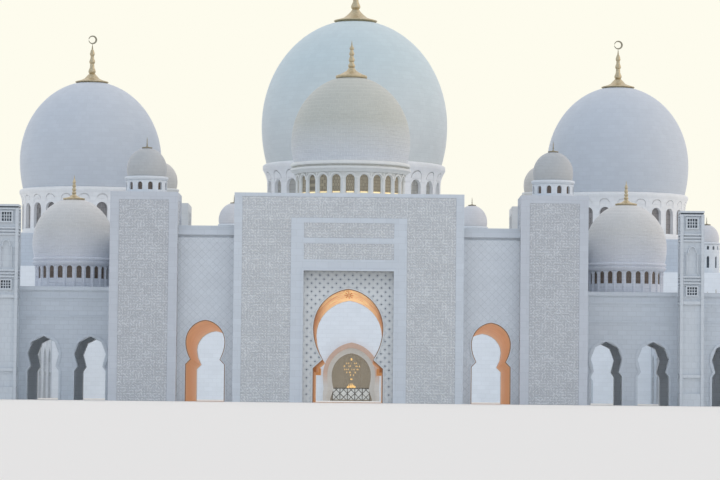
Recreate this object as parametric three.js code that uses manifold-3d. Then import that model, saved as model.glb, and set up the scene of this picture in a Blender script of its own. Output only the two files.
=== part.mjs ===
// A marble mosque as a 1:10 scale model: an entrance block with a keyhole portal in front,
// low wings and arcades around a courtyard, and a prayer hall with three great domes behind.

import * as THREE from 'three';
import { mergeVertices } from 'three/addons/utils/BufferGeometryUtils.js';
import Module from 'manifold-3d';

const wasm = await Module();
wasm.setup();

// One metre of the building, in millimetres of the 1:10 model. X runs along the front,
// Y from the front back across the courtyard, and Z up from the ground.
const M = 100;

// Whole building
const BUILDING_DEPTH = 190 * M;
const FACETS = 24;

// Entrance block: a high middle part, two lower curtain walls and four square towers
const NAVE_HALF_WIDTH = 14.4 * M;
const NAVE_HEIGHT = 26.2 * M;
const NAVE_SIDE_WALL = 1.2 * M;
const PORTAL_WALL = 2.0 * M;
const BLOCK_DEPTH = 31.5 * M;
const REAR_WALL = 1.6 * M;
const REAR_FACE = BLOCK_DEPTH - REAR_WALL;
const NAVE_ROOF_TOP = 25.8 * M;
const ROOF_SLAB = 0.6 * M;
const RECESS_HALF_WIDTH = 5.65 * M;
const RECESS_TOP = 16.5 * M;
const RECESS_DEPTH = 0.8 * M;
const CURTAIN_HEIGHT = 22.1 * M;
const CURTAIN_FRONT = 2.0 * M;
const CURTAIN_WALL = 1.2 * M;
const CURTAIN_BACK = CURTAIN_FRONT + CURTAIN_WALL;
const CURTAIN_PANEL_DEPTH = 0.25 * M;
const CURTAIN_PANEL_TOP = 20.9 * M;
const AISLE_ROOF_TOP = 21.0 * M;
const TOWER_INNER_X = 21.5 * M;
const TOWER_WIDTH = 8.46 * M;
const TOWER_DEPTH = 8.5 * M;
const TOWER_WALL = 1.0 * M;
const TOWER_WELL_RADIUS = 2.0 * M;
const FLANK_WALL = 0.8 * M;
const FLANK_SETBACK = 0.4 * M;

// Keyhole arches: each has a pointed round head over two inward cusps and straight jambs.
// offset is how far each head arc's centre lies past the axis, which makes the point.
const PORTAL_ARCH = {
  halfSpan: 4.4 * M, offset: 0.6 * M, spring: 9.3 * M, lowerRadius: 6.9 * M,
  cusp: 5.4 * M, jamb: 4.3 * M, foot: 4.4 * M, headSteps: 8, lowerSteps: 3,
};
const KEYHOLE_ARCH = {
  halfSpan: 2.5 * M, offset: 0.3 * M, spring: 7.46 * M, lowerRadius: 4.19 * M,
  cusp: 5.3 * M, jamb: 4.65 * M, foot: 2.5 * M, headSteps: 6, lowerSteps: 2,
};
const ARCADE_ARCH = {
  halfSpan: 2.0 * M, offset: 0.25 * M, spring: 5.9 * M, lowerRadius: 3.3 * M,
  cusp: 4.3 * M, jamb: 3.7 * M, foot: 2.0 * M, headSteps: 2, lowerSteps: 1,
};
const HALL_ARCH = {
  halfSpan: 3.3 * M, offset: 0.4 * M, spring: 4.3 * M, lowerRadius: 8.4 * M,
  cusp: 1.95 * M, jamb: 0.3 * M, foot: 3.5 * M, headSteps: 7, lowerSteps: 2,
};
const HALL_FRAME_ARCH = {
  halfSpan: 4.7 * M, offset: 0.76 * M, spring: 4.3 * M, lowerRadius: 30 * M,
  cusp: 1.9 * M, jamb: 1.2 * M, foot: 4.7 * M, headSteps: 7, lowerSteps: 1,
};
const KEYHOLE_X = 17.95 * M;
// How far each passage's soffit has come down at the courtyard, as a share of its height.
const PORTAL_REAR_FALL = 0.042;
const KEYHOLE_REAR_FALL = 0.084;
const PORTAL_VAULT_HALF_WIDTH = 5.4 * M;
const PORTAL_VAULT_HEIGHT = 15.3 * M;
const KEYHOLE_VAULT_HALF_WIDTH = 3.3 * M;
const KEYHOLE_VAULT_HEIGHT = 11.1 * M;
const ENTRANCE_DOME_Y = 22 * M;

// Wings beside the entrance block, and the light pylons at their fronts
const WING_FRONT = 9.0 * M;
const WING_BACK = 22.5 * M;
const WING_START_X = TOWER_INNER_X + TOWER_WIDTH - FLANK_SETBACK;
const WING_END_X = 62 * M;
const WING_HEIGHT = 14.5 * M;
const WING_ROOF_TOP = 13.9 * M;
const WING_DOME_X = 36 * M;
const WING_DOME_Y = 16 * M;
const ARCADE_WALL = 1.2 * M;
const WING_FRONT_BAYS = [33 * M, 39 * M, 48.5 * M, 54.5 * M];
const WING_REAR_BAYS = [33 * M, 39 * M, 45 * M, 56 * M];
const PYLON_X = 43.6 * M;
const PYLON_WIDTH = 3.06 * M;
const PYLON_HEIGHT = 24.8 * M;
const PYLON_WALL = 0.5 * M;

// Arcaded ranges along both sides of the courtyard
const RANGE_INNER_X = 50 * M;
const RANGE_HEIGHT = 12 * M;
const RANGE_ROOF_TOP = 11.4 * M;
const RANGE_BAY = 7.6 * M;
const RANGE_BAYS = 14;
const RANGE_DOMES = 9;
const RANGE_DOME_PITCH = 12 * M;
const RANGE_DOME_RADIUS = 3.9 * M;
const RANGE_DOME_HEIGHT = 4.6 * M;
const RANGE_DOME_STEPS = 3;

// Prayer hall
const HALL_FRONT = 130 * M;
const HALL_HALF_WIDTH = 66 * M;
const HALL_HEIGHT = 22 * M;
const HALL_WALL = 1.5 * M;
const HALL_ROOF_TOP = 21.4 * M;
const HALL_MIDDLE_HALF_WIDTH = 22.6 * M;
const HALL_MIDDLE_HEIGHT = 28 * M;
const HALL_MIDDLE_BACK = 184 * M;
const HALL_SIDE_BAYS = [30 * M, 38 * M, 56 * M];
const HALL_WINDOW_PITCH = 11 * M;
const HALL_WINDOW = { halfWidth: 1.6 * M, foot: 2.5 * M, shoulder: 8.5 * M, top: 11 * M };
const HALL_SIDE_WINDOWS = 5;
const HALL_REAR_WINDOWS = 9;
const HALL_FRAME_DEPTH = 0.8 * M;
const GREAT_DOME_Y = 165 * M;
const SIDE_DOME_X = 47.05 * M;
const SIDE_BASE_HALF_WIDTH = 13.6 * M;
const SIDE_BASE_TOP = 28.6 * M;
const BASE_WALL = 1.2 * M;
const DECK = 0.8 * M;
const TURRET_Y = 134 * M;
const FRONT_TURRET_X = 20.05 * M;
const CORNER_TURRET_X = 59.6 * M;
const GLASS_THICKNESS = 0.12 * M;
const GLASS_SET_BACK = 0.6 * M;
const CHANDELIER_Y = 137 * M;

// Domes: a drum of outer radius drumRadius stands on a roof, flares into a cornice and
// carries a shell whose widest circle lies above its base. Windows pierce the drum.
const GREAT_DOME = {
  drumFoot: HALL_MIDDLE_HEIGHT, drumRadius: 15.4 * M, drumWall: 1.2 * M, flareFoot: 39.7 * M,
  corniceFoot: 40.9 * M, corniceRadius: 16.3 * M, base: 41.9 * M, baseRadius: 15.6 * M,
  widest: 48.85 * M, radius: 16.58 * M, crown: 67.95 * M, shell: 0.9 * M,
  windows: 24, windowFoot: 32.5 * M, windowTop: 38.9 * M, windowWidth: 2.15 * M,
};
const SIDE_DOME = {
  drumFoot: SIDE_BASE_TOP, drumRadius: 12.0 * M, drumWall: 1.0 * M, flareFoot: 35.2 * M,
  corniceFoot: 36.2 * M, corniceRadius: 12.6 * M, base: 37.0 * M, baseRadius: 11.95 * M,
  widest: 42.3 * M, radius: 12.6 * M, crown: 56.5 * M, shell: 0.8 * M,
  windows: 24, windowFoot: 29.8 * M, windowTop: 34.3 * M, windowWidth: 1.85 * M,
};
const ENTRANCE_DOME = {
  drumFoot: NAVE_ROOF_TOP, drumRadius: 7.35 * M, drumWall: 0.7 * M, flareFoot: 30.1 * M,
  corniceFoot: 30.5 * M, corniceRadius: 8.0 * M, base: 31.55 * M, baseRadius: 7.5 * M,
  widest: 34.3 * M, radius: 7.88 * M, crown: 43.15 * M, shell: 0.6 * M,
  windows: 24, windowFoot: 27.3 * M, windowTop: 29.7 * M, windowWidth: 1.05 * M,
};
const WING_DOME = {
  drumFoot: WING_ROOF_TOP, drumRadius: 4.95 * M, drumWall: 0.6 * M, flareFoot: 17.4 * M,
  corniceFoot: 17.8 * M, corniceRadius: 5.25 * M, base: 18.45 * M, baseRadius: 5.05 * M,
  widest: 20.4 * M, radius: 5.3 * M, crown: 26.2 * M, shell: 0.45 * M,
  windows: 24, windowFoot: 15.9 * M, windowTop: 17.3 * M, windowWidth: 0.75 * M,
};
const TOWER_DOME = {
  drumFoot: NAVE_HEIGHT, drumRadius: 2.6 * M, drumWall: 0.35 * M, flareFoot: 27.7 * M,
  corniceFoot: 27.9 * M, corniceRadius: 2.85 * M, base: 28.3 * M, baseRadius: 2.4 * M,
  widest: 29.3 * M, radius: 2.53 * M, crown: 32.0 * M, shell: 0.3 * M,
};
const TURRET_DOME = {
  drumFoot: HALL_MIDDLE_HEIGHT, drumRadius: 2.55 * M, drumWall: 0.35 * M, flareFoot: 29.0 * M,
  corniceFoot: 29.2 * M, corniceRadius: 2.8 * M, base: 29.5 * M, baseRadius: 2.45 * M,
  widest: 30.2 * M, radius: 2.58 * M, crown: 32.75 * M, shell: 0.3 * M,
};
const CORNER_TURRET_DOME = {
  drumFoot: HALL_ROOF_TOP, drumRadius: 2.2 * M, drumWall: 0.35 * M, flareFoot: 26.75 * M,
  corniceFoot: 26.9 * M, corniceRadius: 2.4 * M, base: 27.2 * M, baseRadius: 2.0 * M,
  widest: 27.8 * M, radius: 2.1 * M, crown: 30.2 * M, shell: 0.3 * M,
};

// Finials, as shares of their height and of their plate's radius: a plate on the crown,
// a bell, bulbs that get smaller, and a spike. Small domes have one bulb.
const FINIAL_PROFILE = [
  [0.00, 1.00], [0.04, 0.92], [0.10, 0.40], [0.22, 0.20], [0.28, 0.36], [0.35, 0.14],
  [0.44, 0.28], [0.53, 0.10], [0.61, 0.18], [0.70, 0.06],
];
const SMALL_FINIAL_PROFILE = [[0.00, 1.00], [0.20, 0.40], [0.45, 0.55], [0.65, 0.15]];
const GREAT_FINIAL = { plate: 4.3 * M, height: 10 * M };
const SIDE_FINIAL = { plate: 3.07 * M, height: 8.1 * M };
const ENTRANCE_FINIAL = { plate: 2.09 * M, height: 4.7 * M };
const WING_FINIAL = { plate: 1.44 * M, height: 2.8 * M };
const TOWER_FINIAL = { plate: 0.55 * M, height: 1.6 * M };

const stone = new THREE.MeshStandardMaterial({ color: 0xb6c0cc, roughness: 0.6, metalness: 0 });
const warmStone = new THREE.MeshStandardMaterial({ color: 0xbfc2c0, roughness: 0.55, metalness: 0 });
const brightStone = new THREE.MeshStandardMaterial({ color: 0xcdd6e2, roughness: 0.55, metalness: 0 });
const litSoffit = new THREE.MeshStandardMaterial({ color: 0xd08a55, roughness: 0.6, metalness: 0 });
const gold = new THREE.MeshStandardMaterial({ color: 0xc09a5c, roughness: 0.35, metalness: 1 });
const glass = new THREE.MeshStandardMaterial({ color: 0x857c6e, roughness: 0.1, metalness: 0 });

const mosque = new THREE.Group();
const building = new THREE.Group();
building.position.y = -BUILDING_DEPTH / 2;
mosque.add(building);

function toSolid(geometry) {
  const bare = geometry.clone();
  bare.deleteAttribute('normal');
  bare.deleteAttribute('uv');
  const merged = mergeVertices(bare, 1e-3);
  const corners = merged.index.array;
  const kept = [];
  for (let i = 0; i < corners.length; i += 3) {
    const [a, b, c] = corners.slice(i, i + 3);
    if (a !== b && b !== c && c !== a) kept.push(a, b, c);
  }
  return new wasm.Manifold(new wasm.Mesh({
    numProp: 3,
    vertProperties: merged.attributes.position.array,
    triVerts: new Uint32Array(kept),
  }));
}

function toGeometry(solid) {
  const mesh = solid.getMesh();
  const geometry = new THREE.BufferGeometry();
  geometry.setAttribute('position', new THREE.BufferAttribute(new Float32Array(mesh.vertProperties), 3));
  geometry.setIndex(new THREE.BufferAttribute(new Uint32Array(mesh.triVerts), 1));
  return geometry;
}

function addPiece(name, geometry, material, x = 0, y = 0, z = 0) {
  const mesh = new THREE.Mesh(geometry, material);
  mesh.name = name;
  mesh.position.set(x, y, z);
  building.add(mesh);
}

function box(x0, x1, y0, y1, z0, z1) {
  const geometry = new THREE.BoxGeometry(x1 - x0, y1 - y0, z1 - z0);
  return geometry.translate((x0 + x1) / 2, (y0 + y1) / 2, (z0 + z1) / 2);
}

// The outline of an arch standing on the ground, from its left foot over to its right one.
function archOutline(arch, centre = 0, rise = 1) {
  const headRadius = arch.halfSpan + arch.offset;
  const headSweep = Math.acos(arch.offset / headRadius);
  const lowerSweep = Math.asin((arch.spring - arch.cusp) / arch.lowerRadius);
  const right = [[arch.foot, 0], [arch.foot, arch.jamb]];
  for (let i = 0; i < arch.lowerSteps; i += 1) {
    const angle = -lowerSweep * (1 - i / arch.lowerSteps);
    const x = arch.halfSpan - arch.lowerRadius * (1 - Math.cos(angle));
    right.push([x, arch.spring + arch.lowerRadius * Math.sin(angle)]);
  }
  for (let i = 0; i < arch.headSteps; i += 1) {
    const angle = headSweep * i / arch.headSteps;
    right.push([headRadius * Math.cos(angle) - arch.offset, arch.spring + headRadius * Math.sin(angle)]);
  }
  const crown = [0, arch.spring + headRadius * Math.sin(headSweep)];
  const left = right.map(([x, z]) => [-x, z]);
  return [...left, crown, ...right.reverse()].map(([x, z]) => new THREE.Vector2(centre + x, z * rise));
}

// A wall standing in the XZ plane from y to y + thickness. tops gives the outline of its top
// from right to left, and arches the openings from left to right.
function archedWall(x0, x1, tops, arches, y, thickness) {
  const outline = [new THREE.Vector2(x0, 0)];
  for (const { arch, centre, rise } of arches) outline.push(...archOutline(arch, centre, rise));
  outline.push(new THREE.Vector2(x1, 0));
  for (const [x, z] of tops) outline.push(new THREE.Vector2(x, z));
  return standUp(new THREE.Shape(outline), y, thickness);
}

function standUp(shape, y, thickness) {
  const geometry = new THREE.ExtrudeGeometry(shape, { depth: thickness, bevelEnabled: false });
  return geometry.rotateX(Math.PI / 2).translate(0, y + thickness, 0);
}

function level(x0, x1, height) {
  return [[x1, height], [x0, height]];
}

// Lays the same wall out along Y instead, with its face at x and its thickness towards +X.
function alongY(geometry, x) {
  return geometry.rotateZ(Math.PI / 2).scale(-1, 1, 1).translate(x, 0, 0);
}

function flipFaces(geometry) {
  const solid = geometry.index ? geometry.toNonIndexed() : geometry;
  const position = solid.attributes.position;
  const a = new THREE.Vector3();
  const c = new THREE.Vector3();
  for (let i = 0; i < position.count; i += 3) {
    a.fromBufferAttribute(position, i);
    c.fromBufferAttribute(position, i + 2);
    position.setXYZ(i, c.x, c.y, c.z);
    position.setXYZ(i + 2, a.x, a.y, a.z);
  }
  return solid;
}

function mirrorX(geometry) {
  return flipFaces(geometry.clone().scale(-1, 1, 1));
}

// Lowers everything in proportion to how far back it lies between y0 and y1.
function fallTowards(geometry, y0, y1, fall) {
  const position = geometry.attributes.position;
  for (let i = 0; i < position.count; i += 1) {
    const share = (position.getY(i) - y0) / (y1 - y0);
    position.setZ(i, position.getZ(i) * (1 - fall * share));
  }
  return geometry;
}

function turned(profile, facets) {
  const points = profile.map(([r, z]) => new THREE.Vector2(r, z));
  const geometry = new THREE.LatheGeometry(points, facets, Math.PI / facets);
  return geometry.rotateX(Math.PI / 2);
}

// The profile of a dome's shell from its base up to its crown, at a distance inside its face.
function domeProfile(dome, inset, lowerSteps, upperSteps) {
  const drop = dome.widest - dome.base;
  const taper = dome.radius - dome.baseRadius;
  const arc = (drop * drop + taper * taper) / (2 * taper);
  const profile = [];
  for (let i = 0; i < lowerSteps; i += 1) {
    const z = dome.base + drop * i / lowerSteps;
    const below = dome.widest - z;
    profile.push([dome.radius - inset - arc + Math.sqrt(arc * arc - below * below), z]);
  }
  for (let i = 0; i <= upperSteps; i += 1) {
    const angle = Math.PI / 2 * i / upperSteps;
    const rise = dome.crown - inset - dome.widest;
    const r = i === upperSteps ? 0 : (dome.radius - inset) * Math.cos(angle);
    profile.push([r, dome.widest + rise * Math.sin(angle)]);
  }
  return profile;
}

// A great dome's shell, cut flat at the top where the finial's plate stands.
function domeShell(dome, finial) {
  const inner = domeProfile(dome, dome.shell, 1, 3).reverse();
  const outer = domeProfile(dome, 0, 1, 7).filter(([r]) => r > finial.plate);
  const seat = finialSeat(dome, finial);
  return turned([...inner, ...outer, [finial.plate, seat], [0, seat]], FACETS);
}

function drumProfile(dome) {
  const inner = dome.drumRadius - dome.drumWall;
  return [
    [inner, dome.base], [inner, dome.drumFoot], [dome.drumRadius, dome.drumFoot],
    [dome.drumRadius, dome.flareFoot], [dome.corniceRadius, dome.corniceFoot],
    [dome.corniceRadius, dome.base], [inner, dome.base],
  ];
}

// One long prism cuts two facing windows of a drum.
function windowCutter(dome) {
  const half = dome.windowWidth / 2;
  const reach = dome.corniceRadius + M;
  const shape = new THREE.Shape([
    new THREE.Vector2(-half, dome.windowFoot),
    new THREE.Vector2(half, dome.windowFoot),
    new THREE.Vector2(half, dome.windowTop - half),
    new THREE.Vector2(0, dome.windowTop),
    new THREE.Vector2(-half, dome.windowTop - half),
  ]);
  return standUp(shape, -reach, 2 * reach);
}

function drum(dome, turn = 0) {
  let solid = toSolid(turned(drumProfile(dome), FACETS));
  const cutter = windowCutter(dome);
  for (let i = 0; i < dome.windows / 2; i += 1) {
    solid = solid.subtract(toSolid(cutter.clone().rotateZ(2 * Math.PI * i / dome.windows)));
  }
  return toGeometry(solid).rotateZ(turn);
}

function finialProfile(finial, seat, shares) {
  const points = shares.map(([z, r]) => [r * finial.plate, seat + z * finial.height]);
  return [...points, [0, seat + finial.height]];
}

// How high a finial's plate rests on the curve of a dome.
function finialSeat(dome, finial) {
  const share = finial.plate / dome.radius;
  return dome.widest + (dome.crown - dome.widest) * Math.sqrt(1 - share * share);
}

function separateFinial(dome, finial) {
  const seat = finialSeat(dome, finial);
  return turned([[0, seat], ...finialProfile(finial, seat, FINIAL_PROFILE)], FACETS / 2);
}

// Drum, dome and finial of a small dome as one shell.
function smallDome(dome, finial, facets, upperSteps) {
  const inner = domeProfile(dome, dome.shell, 1, 2).reverse();
  const outer = domeProfile(dome, 0, 1, upperSteps).filter(([r]) => r > finial.plate);
  const wall = dome.drumRadius - dome.drumWall;
  return turned([
    ...inner, [wall, dome.drumFoot], [dome.drumRadius, dome.drumFoot],
    [dome.drumRadius, dome.flareFoot], [dome.corniceRadius, dome.corniceFoot],
    [dome.corniceRadius, dome.base], ...outer,
    ...finialProfile(finial, finialSeat(dome, finial), SMALL_FINIAL_PROFILE),
  ], facets);
}

function turretDome(dome) {
  return smallDome(dome, TOWER_FINIAL, FACETS / 2, 4);
}

function wingDome() {
  let solid = toSolid(smallDome(WING_DOME, WING_FINIAL, FACETS, 6));
  const cutter = windowCutter(WING_DOME);
  for (let i = 0; i < WING_DOME.windows / 2; i += 1) {
    solid = solid.subtract(toSolid(cutter.clone().rotateZ(2 * Math.PI * i / WING_DOME.windows)));
  }
  return toGeometry(solid);
}

function portalFrontWall() {
  const half = NAVE_HALF_WIDTH;
  const wall = archedWall(-half, half, level(-half, half, NAVE_HEIGHT),
    [{ arch: PORTAL_ARCH, centre: 0, rise: 1 }], 0, PORTAL_WALL);
  const recess = box(-RECESS_HALF_WIDTH, RECESS_HALF_WIDTH, -M, RECESS_DEPTH, -M, RECESS_TOP);
  return toGeometry(toSolid(wall).subtract(toSolid(recess)));
}

function courtyardWall() {
  const tops = [
    [TOWER_INNER_X, CURTAIN_HEIGHT], [NAVE_HALF_WIDTH, CURTAIN_HEIGHT], [NAVE_HALF_WIDTH, NAVE_HEIGHT],
    [-NAVE_HALF_WIDTH, NAVE_HEIGHT], [-NAVE_HALF_WIDTH, CURTAIN_HEIGHT], [-TOWER_INNER_X, CURTAIN_HEIGHT],
  ];
  const arches = [
    { arch: KEYHOLE_ARCH, centre: -KEYHOLE_X, rise: 1 - KEYHOLE_REAR_FALL },
    { arch: PORTAL_ARCH, centre: 0, rise: 1 - PORTAL_REAR_FALL },
    { arch: KEYHOLE_ARCH, centre: KEYHOLE_X, rise: 1 - KEYHOLE_REAR_FALL },
  ];
  return archedWall(-TOWER_INNER_X, TOWER_INNER_X, tops, arches, REAR_FACE, REAR_WALL);
}

function curtainWall() {
  const x0 = NAVE_HALF_WIDTH;
  const x1 = TOWER_INNER_X;
  const wall = archedWall(x0, x1, level(x0, x1, CURTAIN_HEIGHT),
    [{ arch: KEYHOLE_ARCH, centre: KEYHOLE_X, rise: 1 }], CURTAIN_FRONT, CURTAIN_WALL);
  const panel = box(x0 - M, x1 + M, CURTAIN_FRONT - M,
    CURTAIN_FRONT + CURTAIN_PANEL_DEPTH, -M, CURTAIN_PANEL_TOP);
  return toGeometry(toSolid(wall).subtract(toSolid(panel)));
}

function portalVault() {
  const half = PORTAL_VAULT_HALF_WIDTH;
  const block = archedWall(-half, half, level(-half, half, PORTAL_VAULT_HEIGHT),
    [{ arch: PORTAL_ARCH, centre: 0, rise: 1 }], PORTAL_WALL, REAR_FACE - PORTAL_WALL);
  return fallTowards(block, PORTAL_WALL, REAR_FACE, PORTAL_REAR_FALL);
}

function keyholeVault() {
  const x0 = KEYHOLE_X - KEYHOLE_VAULT_HALF_WIDTH;
  const x1 = KEYHOLE_X + KEYHOLE_VAULT_HALF_WIDTH;
  const block = archedWall(x0, x1, level(x0, x1, KEYHOLE_VAULT_HEIGHT),
    [{ arch: KEYHOLE_ARCH, centre: KEYHOLE_X, rise: 1 }], CURTAIN_BACK, REAR_FACE - CURTAIN_BACK);
  return fallTowards(block, CURTAIN_BACK, REAR_FACE, KEYHOLE_REAR_FALL);
}

// The round well that opens a slab from z0 to z1 under a dome.
function roundWell(radius, z0, z1, x, y) {
  const profile = [[0, z0 - M], [radius, z0 - M], [radius, z1 + M], [0, z1 + M]];
  return toSolid(turned(profile, FACETS).translate(x, y, 0));
}

function roofUnderDome(x0, x1, y0, y1, top, dome, x, y) {
  const under = top - ROOF_SLAB;
  const well = roundWell(dome.drumRadius - dome.drumWall, under, top, x, y);
  return toGeometry(toSolid(box(x0, x1, y0, y1, under, top)).subtract(well));
}

function naveWall() {
  return box(NAVE_HALF_WIDTH - NAVE_SIDE_WALL, NAVE_HALF_WIDTH, PORTAL_WALL, REAR_FACE, 0, NAVE_HEIGHT);
}

function naveRoof() {
  const half = NAVE_HALF_WIDTH - NAVE_SIDE_WALL;
  return roofUnderDome(-half, half, PORTAL_WALL, REAR_FACE, NAVE_ROOF_TOP, ENTRANCE_DOME, 0, ENTRANCE_DOME_Y);
}

function wingRoof() {
  return roofUnderDome(WING_START_X, WING_END_X - ARCADE_WALL, WING_FRONT + ARCADE_WALL,
    WING_BACK - ARCADE_WALL, WING_ROOF_TOP, WING_DOME, WING_DOME_X, WING_DOME_Y);
}

// Aisle roof, with the wall that closes the gap between the two towers on its outer side.
function aisleRoof() {
  const wallOuter = WING_START_X;
  const towersFrom = TOWER_DEPTH;
  const towersTo = BLOCK_DEPTH - TOWER_DEPTH;
  const under = AISLE_ROOF_TOP - ROOF_SLAB;
  const inner = toSolid(box(NAVE_HALF_WIDTH, TOWER_INNER_X, CURTAIN_BACK, REAR_FACE, under, AISLE_ROOF_TOP));
  const outer = toSolid(box(TOWER_INNER_X - M, wallOuter, towersFrom, towersTo, under, AISLE_ROOF_TOP));
  const flank = toSolid(box(wallOuter - FLANK_WALL, wallOuter, towersFrom, towersTo, 0, CURTAIN_HEIGHT));
  return toGeometry(inner.add(outer).add(flank));
}

// A square tower, hollow from the ground up, whose roof is open into its small dome.
function tower() {
  const x = TOWER_WIDTH / 2;
  const y = TOWER_DEPTH / 2;
  const ceiling = NAVE_HEIGHT - TOWER_WALL;
  const outer = toSolid(box(0, TOWER_WIDTH, 0, TOWER_DEPTH, 0, NAVE_HEIGHT));
  const room = toSolid(box(TOWER_WALL, TOWER_WIDTH - TOWER_WALL, TOWER_WALL, TOWER_DEPTH - TOWER_WALL,
    -M, ceiling));
  const well = roundWell(TOWER_WELL_RADIUS, ceiling, NAVE_HEIGHT, x, y);
  const dome = toSolid(turretDome(TOWER_DOME).translate(x, y, 0));
  return toGeometry(outer.subtract(room).subtract(well).add(dome));
}

function pylon() {
  const half = PYLON_WIDTH / 2;
  const outer = toSolid(box(-half, half, 0, PYLON_WIDTH, 0, PYLON_HEIGHT));
  const room = toSolid(box(PYLON_WALL - half, half - PYLON_WALL, PYLON_WALL, PYLON_WIDTH - PYLON_WALL,
    -M, PYLON_HEIGHT - PYLON_WALL));
  return toGeometry(outer.subtract(room));
}

function wingWall(x1, bays, y) {
  const x0 = WING_START_X;
  const arches = bays.map((centre) => ({ arch: ARCADE_ARCH, centre, rise: 1 }));
  return archedWall(x0, x1, level(x0, x1, WING_HEIGHT), arches, y, ARCADE_WALL);
}

// Centres of a range's bays, counted back from the wing.
function rangeBays() {
  const first = WING_BACK + (HALL_FRONT - WING_BACK - RANGE_BAYS * RANGE_BAY) / 2 + RANGE_BAY / 2;
  return Array.from({ length: RANGE_BAYS }, (_, i) => ({
    arch: ARCADE_ARCH, centre: first + i * RANGE_BAY, rise: 1,
  }));
}

function outerArcade() {
  const start = WING_FRONT + ARCADE_WALL;
  const tops = [
    [HALL_FRONT, RANGE_HEIGHT], [WING_BACK, RANGE_HEIGHT], [WING_BACK, WING_HEIGHT], [start, WING_HEIGHT],
  ];
  const wingBay = { arch: ARCADE_ARCH, centre: (start + WING_BACK) / 2, rise: 1 };
  const wall = archedWall(start, HALL_FRONT, tops, [wingBay, ...rangeBays()], 0, ARCADE_WALL);
  return flipFaces(alongY(wall, WING_END_X - ARCADE_WALL));
}

function innerArcade() {
  const tops = level(WING_BACK, HALL_FRONT, RANGE_HEIGHT);
  const wall = archedWall(WING_BACK, HALL_FRONT, tops, rangeBays(), 0, ARCADE_WALL);
  return flipFaces(alongY(wall, RANGE_INNER_X));
}

// A range's roof with its row of small domes, which rise from it in one piece.
function rangeRoof() {
  const x0 = RANGE_INNER_X + ARCADE_WALL;
  const x1 = WING_END_X - ARCADE_WALL;
  let solid = toSolid(box(x0, x1, WING_BACK, HALL_FRONT, RANGE_ROOF_TOP - ROOF_SLAB, RANGE_ROOF_TOP));
  const profile = [[0, RANGE_ROOF_TOP - ROOF_SLAB / 2], [RANGE_DOME_RADIUS, RANGE_ROOF_TOP - ROOF_SLAB / 2]];
  const spring = RANGE_ROOF_TOP + M / 2;
  for (let i = 0; i < RANGE_DOME_STEPS; i += 1) {
    const angle = Math.PI / 2 * i / RANGE_DOME_STEPS;
    profile.push([RANGE_DOME_RADIUS * Math.cos(angle), spring + RANGE_DOME_HEIGHT * Math.sin(angle)]);
  }
  profile.push([0, spring + RANGE_DOME_HEIGHT]);
  const dome = toSolid(turned(profile, FACETS / 2));
  const first = (WING_BACK + HALL_FRONT - (RANGE_DOMES - 1) * RANGE_DOME_PITCH) / 2;
  for (let i = 0; i < RANGE_DOMES; i += 1) {
    solid = solid.add(dome.translate([(x0 + x1) / 2, first + i * RANGE_DOME_PITCH, 0]));
  }
  return toGeometry(solid);
}

function hallFrontWall() {
  const tops = [
    [HALL_HALF_WIDTH, HALL_HEIGHT], [HALL_MIDDLE_HALF_WIDTH, HALL_HEIGHT],
    [HALL_MIDDLE_HALF_WIDTH, HALL_MIDDLE_HEIGHT], [-HALL_MIDDLE_HALF_WIDTH, HALL_MIDDLE_HEIGHT],
    [-HALL_MIDDLE_HALF_WIDTH, HALL_HEIGHT], [-HALL_HALF_WIDTH, HALL_HEIGHT],
  ];
  const left = HALL_SIDE_BAYS.map((x) => ({ arch: ARCADE_ARCH, centre: -x, rise: 1 })).reverse();
  const right = HALL_SIDE_BAYS.map((x) => ({ arch: ARCADE_ARCH, centre: x, rise: 1 }));
  const arches = [...left, { arch: HALL_ARCH, centre: 0, rise: 1 }, ...right];
  return archedWall(-HALL_HALF_WIDTH, HALL_HALF_WIDTH, tops, arches, HALL_FRONT, HALL_WALL);
}

// Both side walls and the back wall of the hall, with a row of arched windows in each.
function hallOuterWall() {
  const front = HALL_FRONT + HALL_WALL;
  const outer = toSolid(box(-HALL_HALF_WIDTH, HALL_HALF_WIDTH, front, BUILDING_DEPTH, 0, HALL_HEIGHT));
  const room = toSolid(box(HALL_WALL - HALL_HALF_WIDTH, HALL_HALF_WIDTH - HALL_WALL, front - M,
    BUILDING_DEPTH - HALL_WALL, -M, HALL_HEIGHT + M));
  let solid = outer.subtract(room);
  const lancet = new THREE.Shape([
    new THREE.Vector2(-HALL_WINDOW.halfWidth, HALL_WINDOW.foot),
    new THREE.Vector2(HALL_WINDOW.halfWidth, HALL_WINDOW.foot),
    new THREE.Vector2(HALL_WINDOW.halfWidth, HALL_WINDOW.shoulder),
    new THREE.Vector2(0, HALL_WINDOW.top),
    new THREE.Vector2(-HALL_WINDOW.halfWidth, HALL_WINDOW.shoulder),
  ]);
  const rearCutter = standUp(lancet, BUILDING_DEPTH - HALL_WALL - M, HALL_WALL + 2 * M);
  for (let i = 0; i < HALL_REAR_WINDOWS; i += 1) {
    const x = (i - (HALL_REAR_WINDOWS - 1) / 2) * HALL_WINDOW_PITCH;
    solid = solid.subtract(toSolid(rearCutter.clone().translate(x, 0, 0)));
  }
  const middle = (front + BUILDING_DEPTH) / 2;
  const sideCutter = standUp(lancet, -HALL_HALF_WIDTH - M, 2 * HALL_HALF_WIDTH + 2 * M).rotateZ(Math.PI / 2);
  for (let i = 0; i < HALL_SIDE_WINDOWS; i += 1) {
    const y = middle + (i - (HALL_SIDE_WINDOWS - 1) / 2) * HALL_WINDOW_PITCH;
    solid = solid.subtract(toSolid(sideCutter.clone().translate(0, y, 0)));
  }
  return toGeometry(solid);
}

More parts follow.
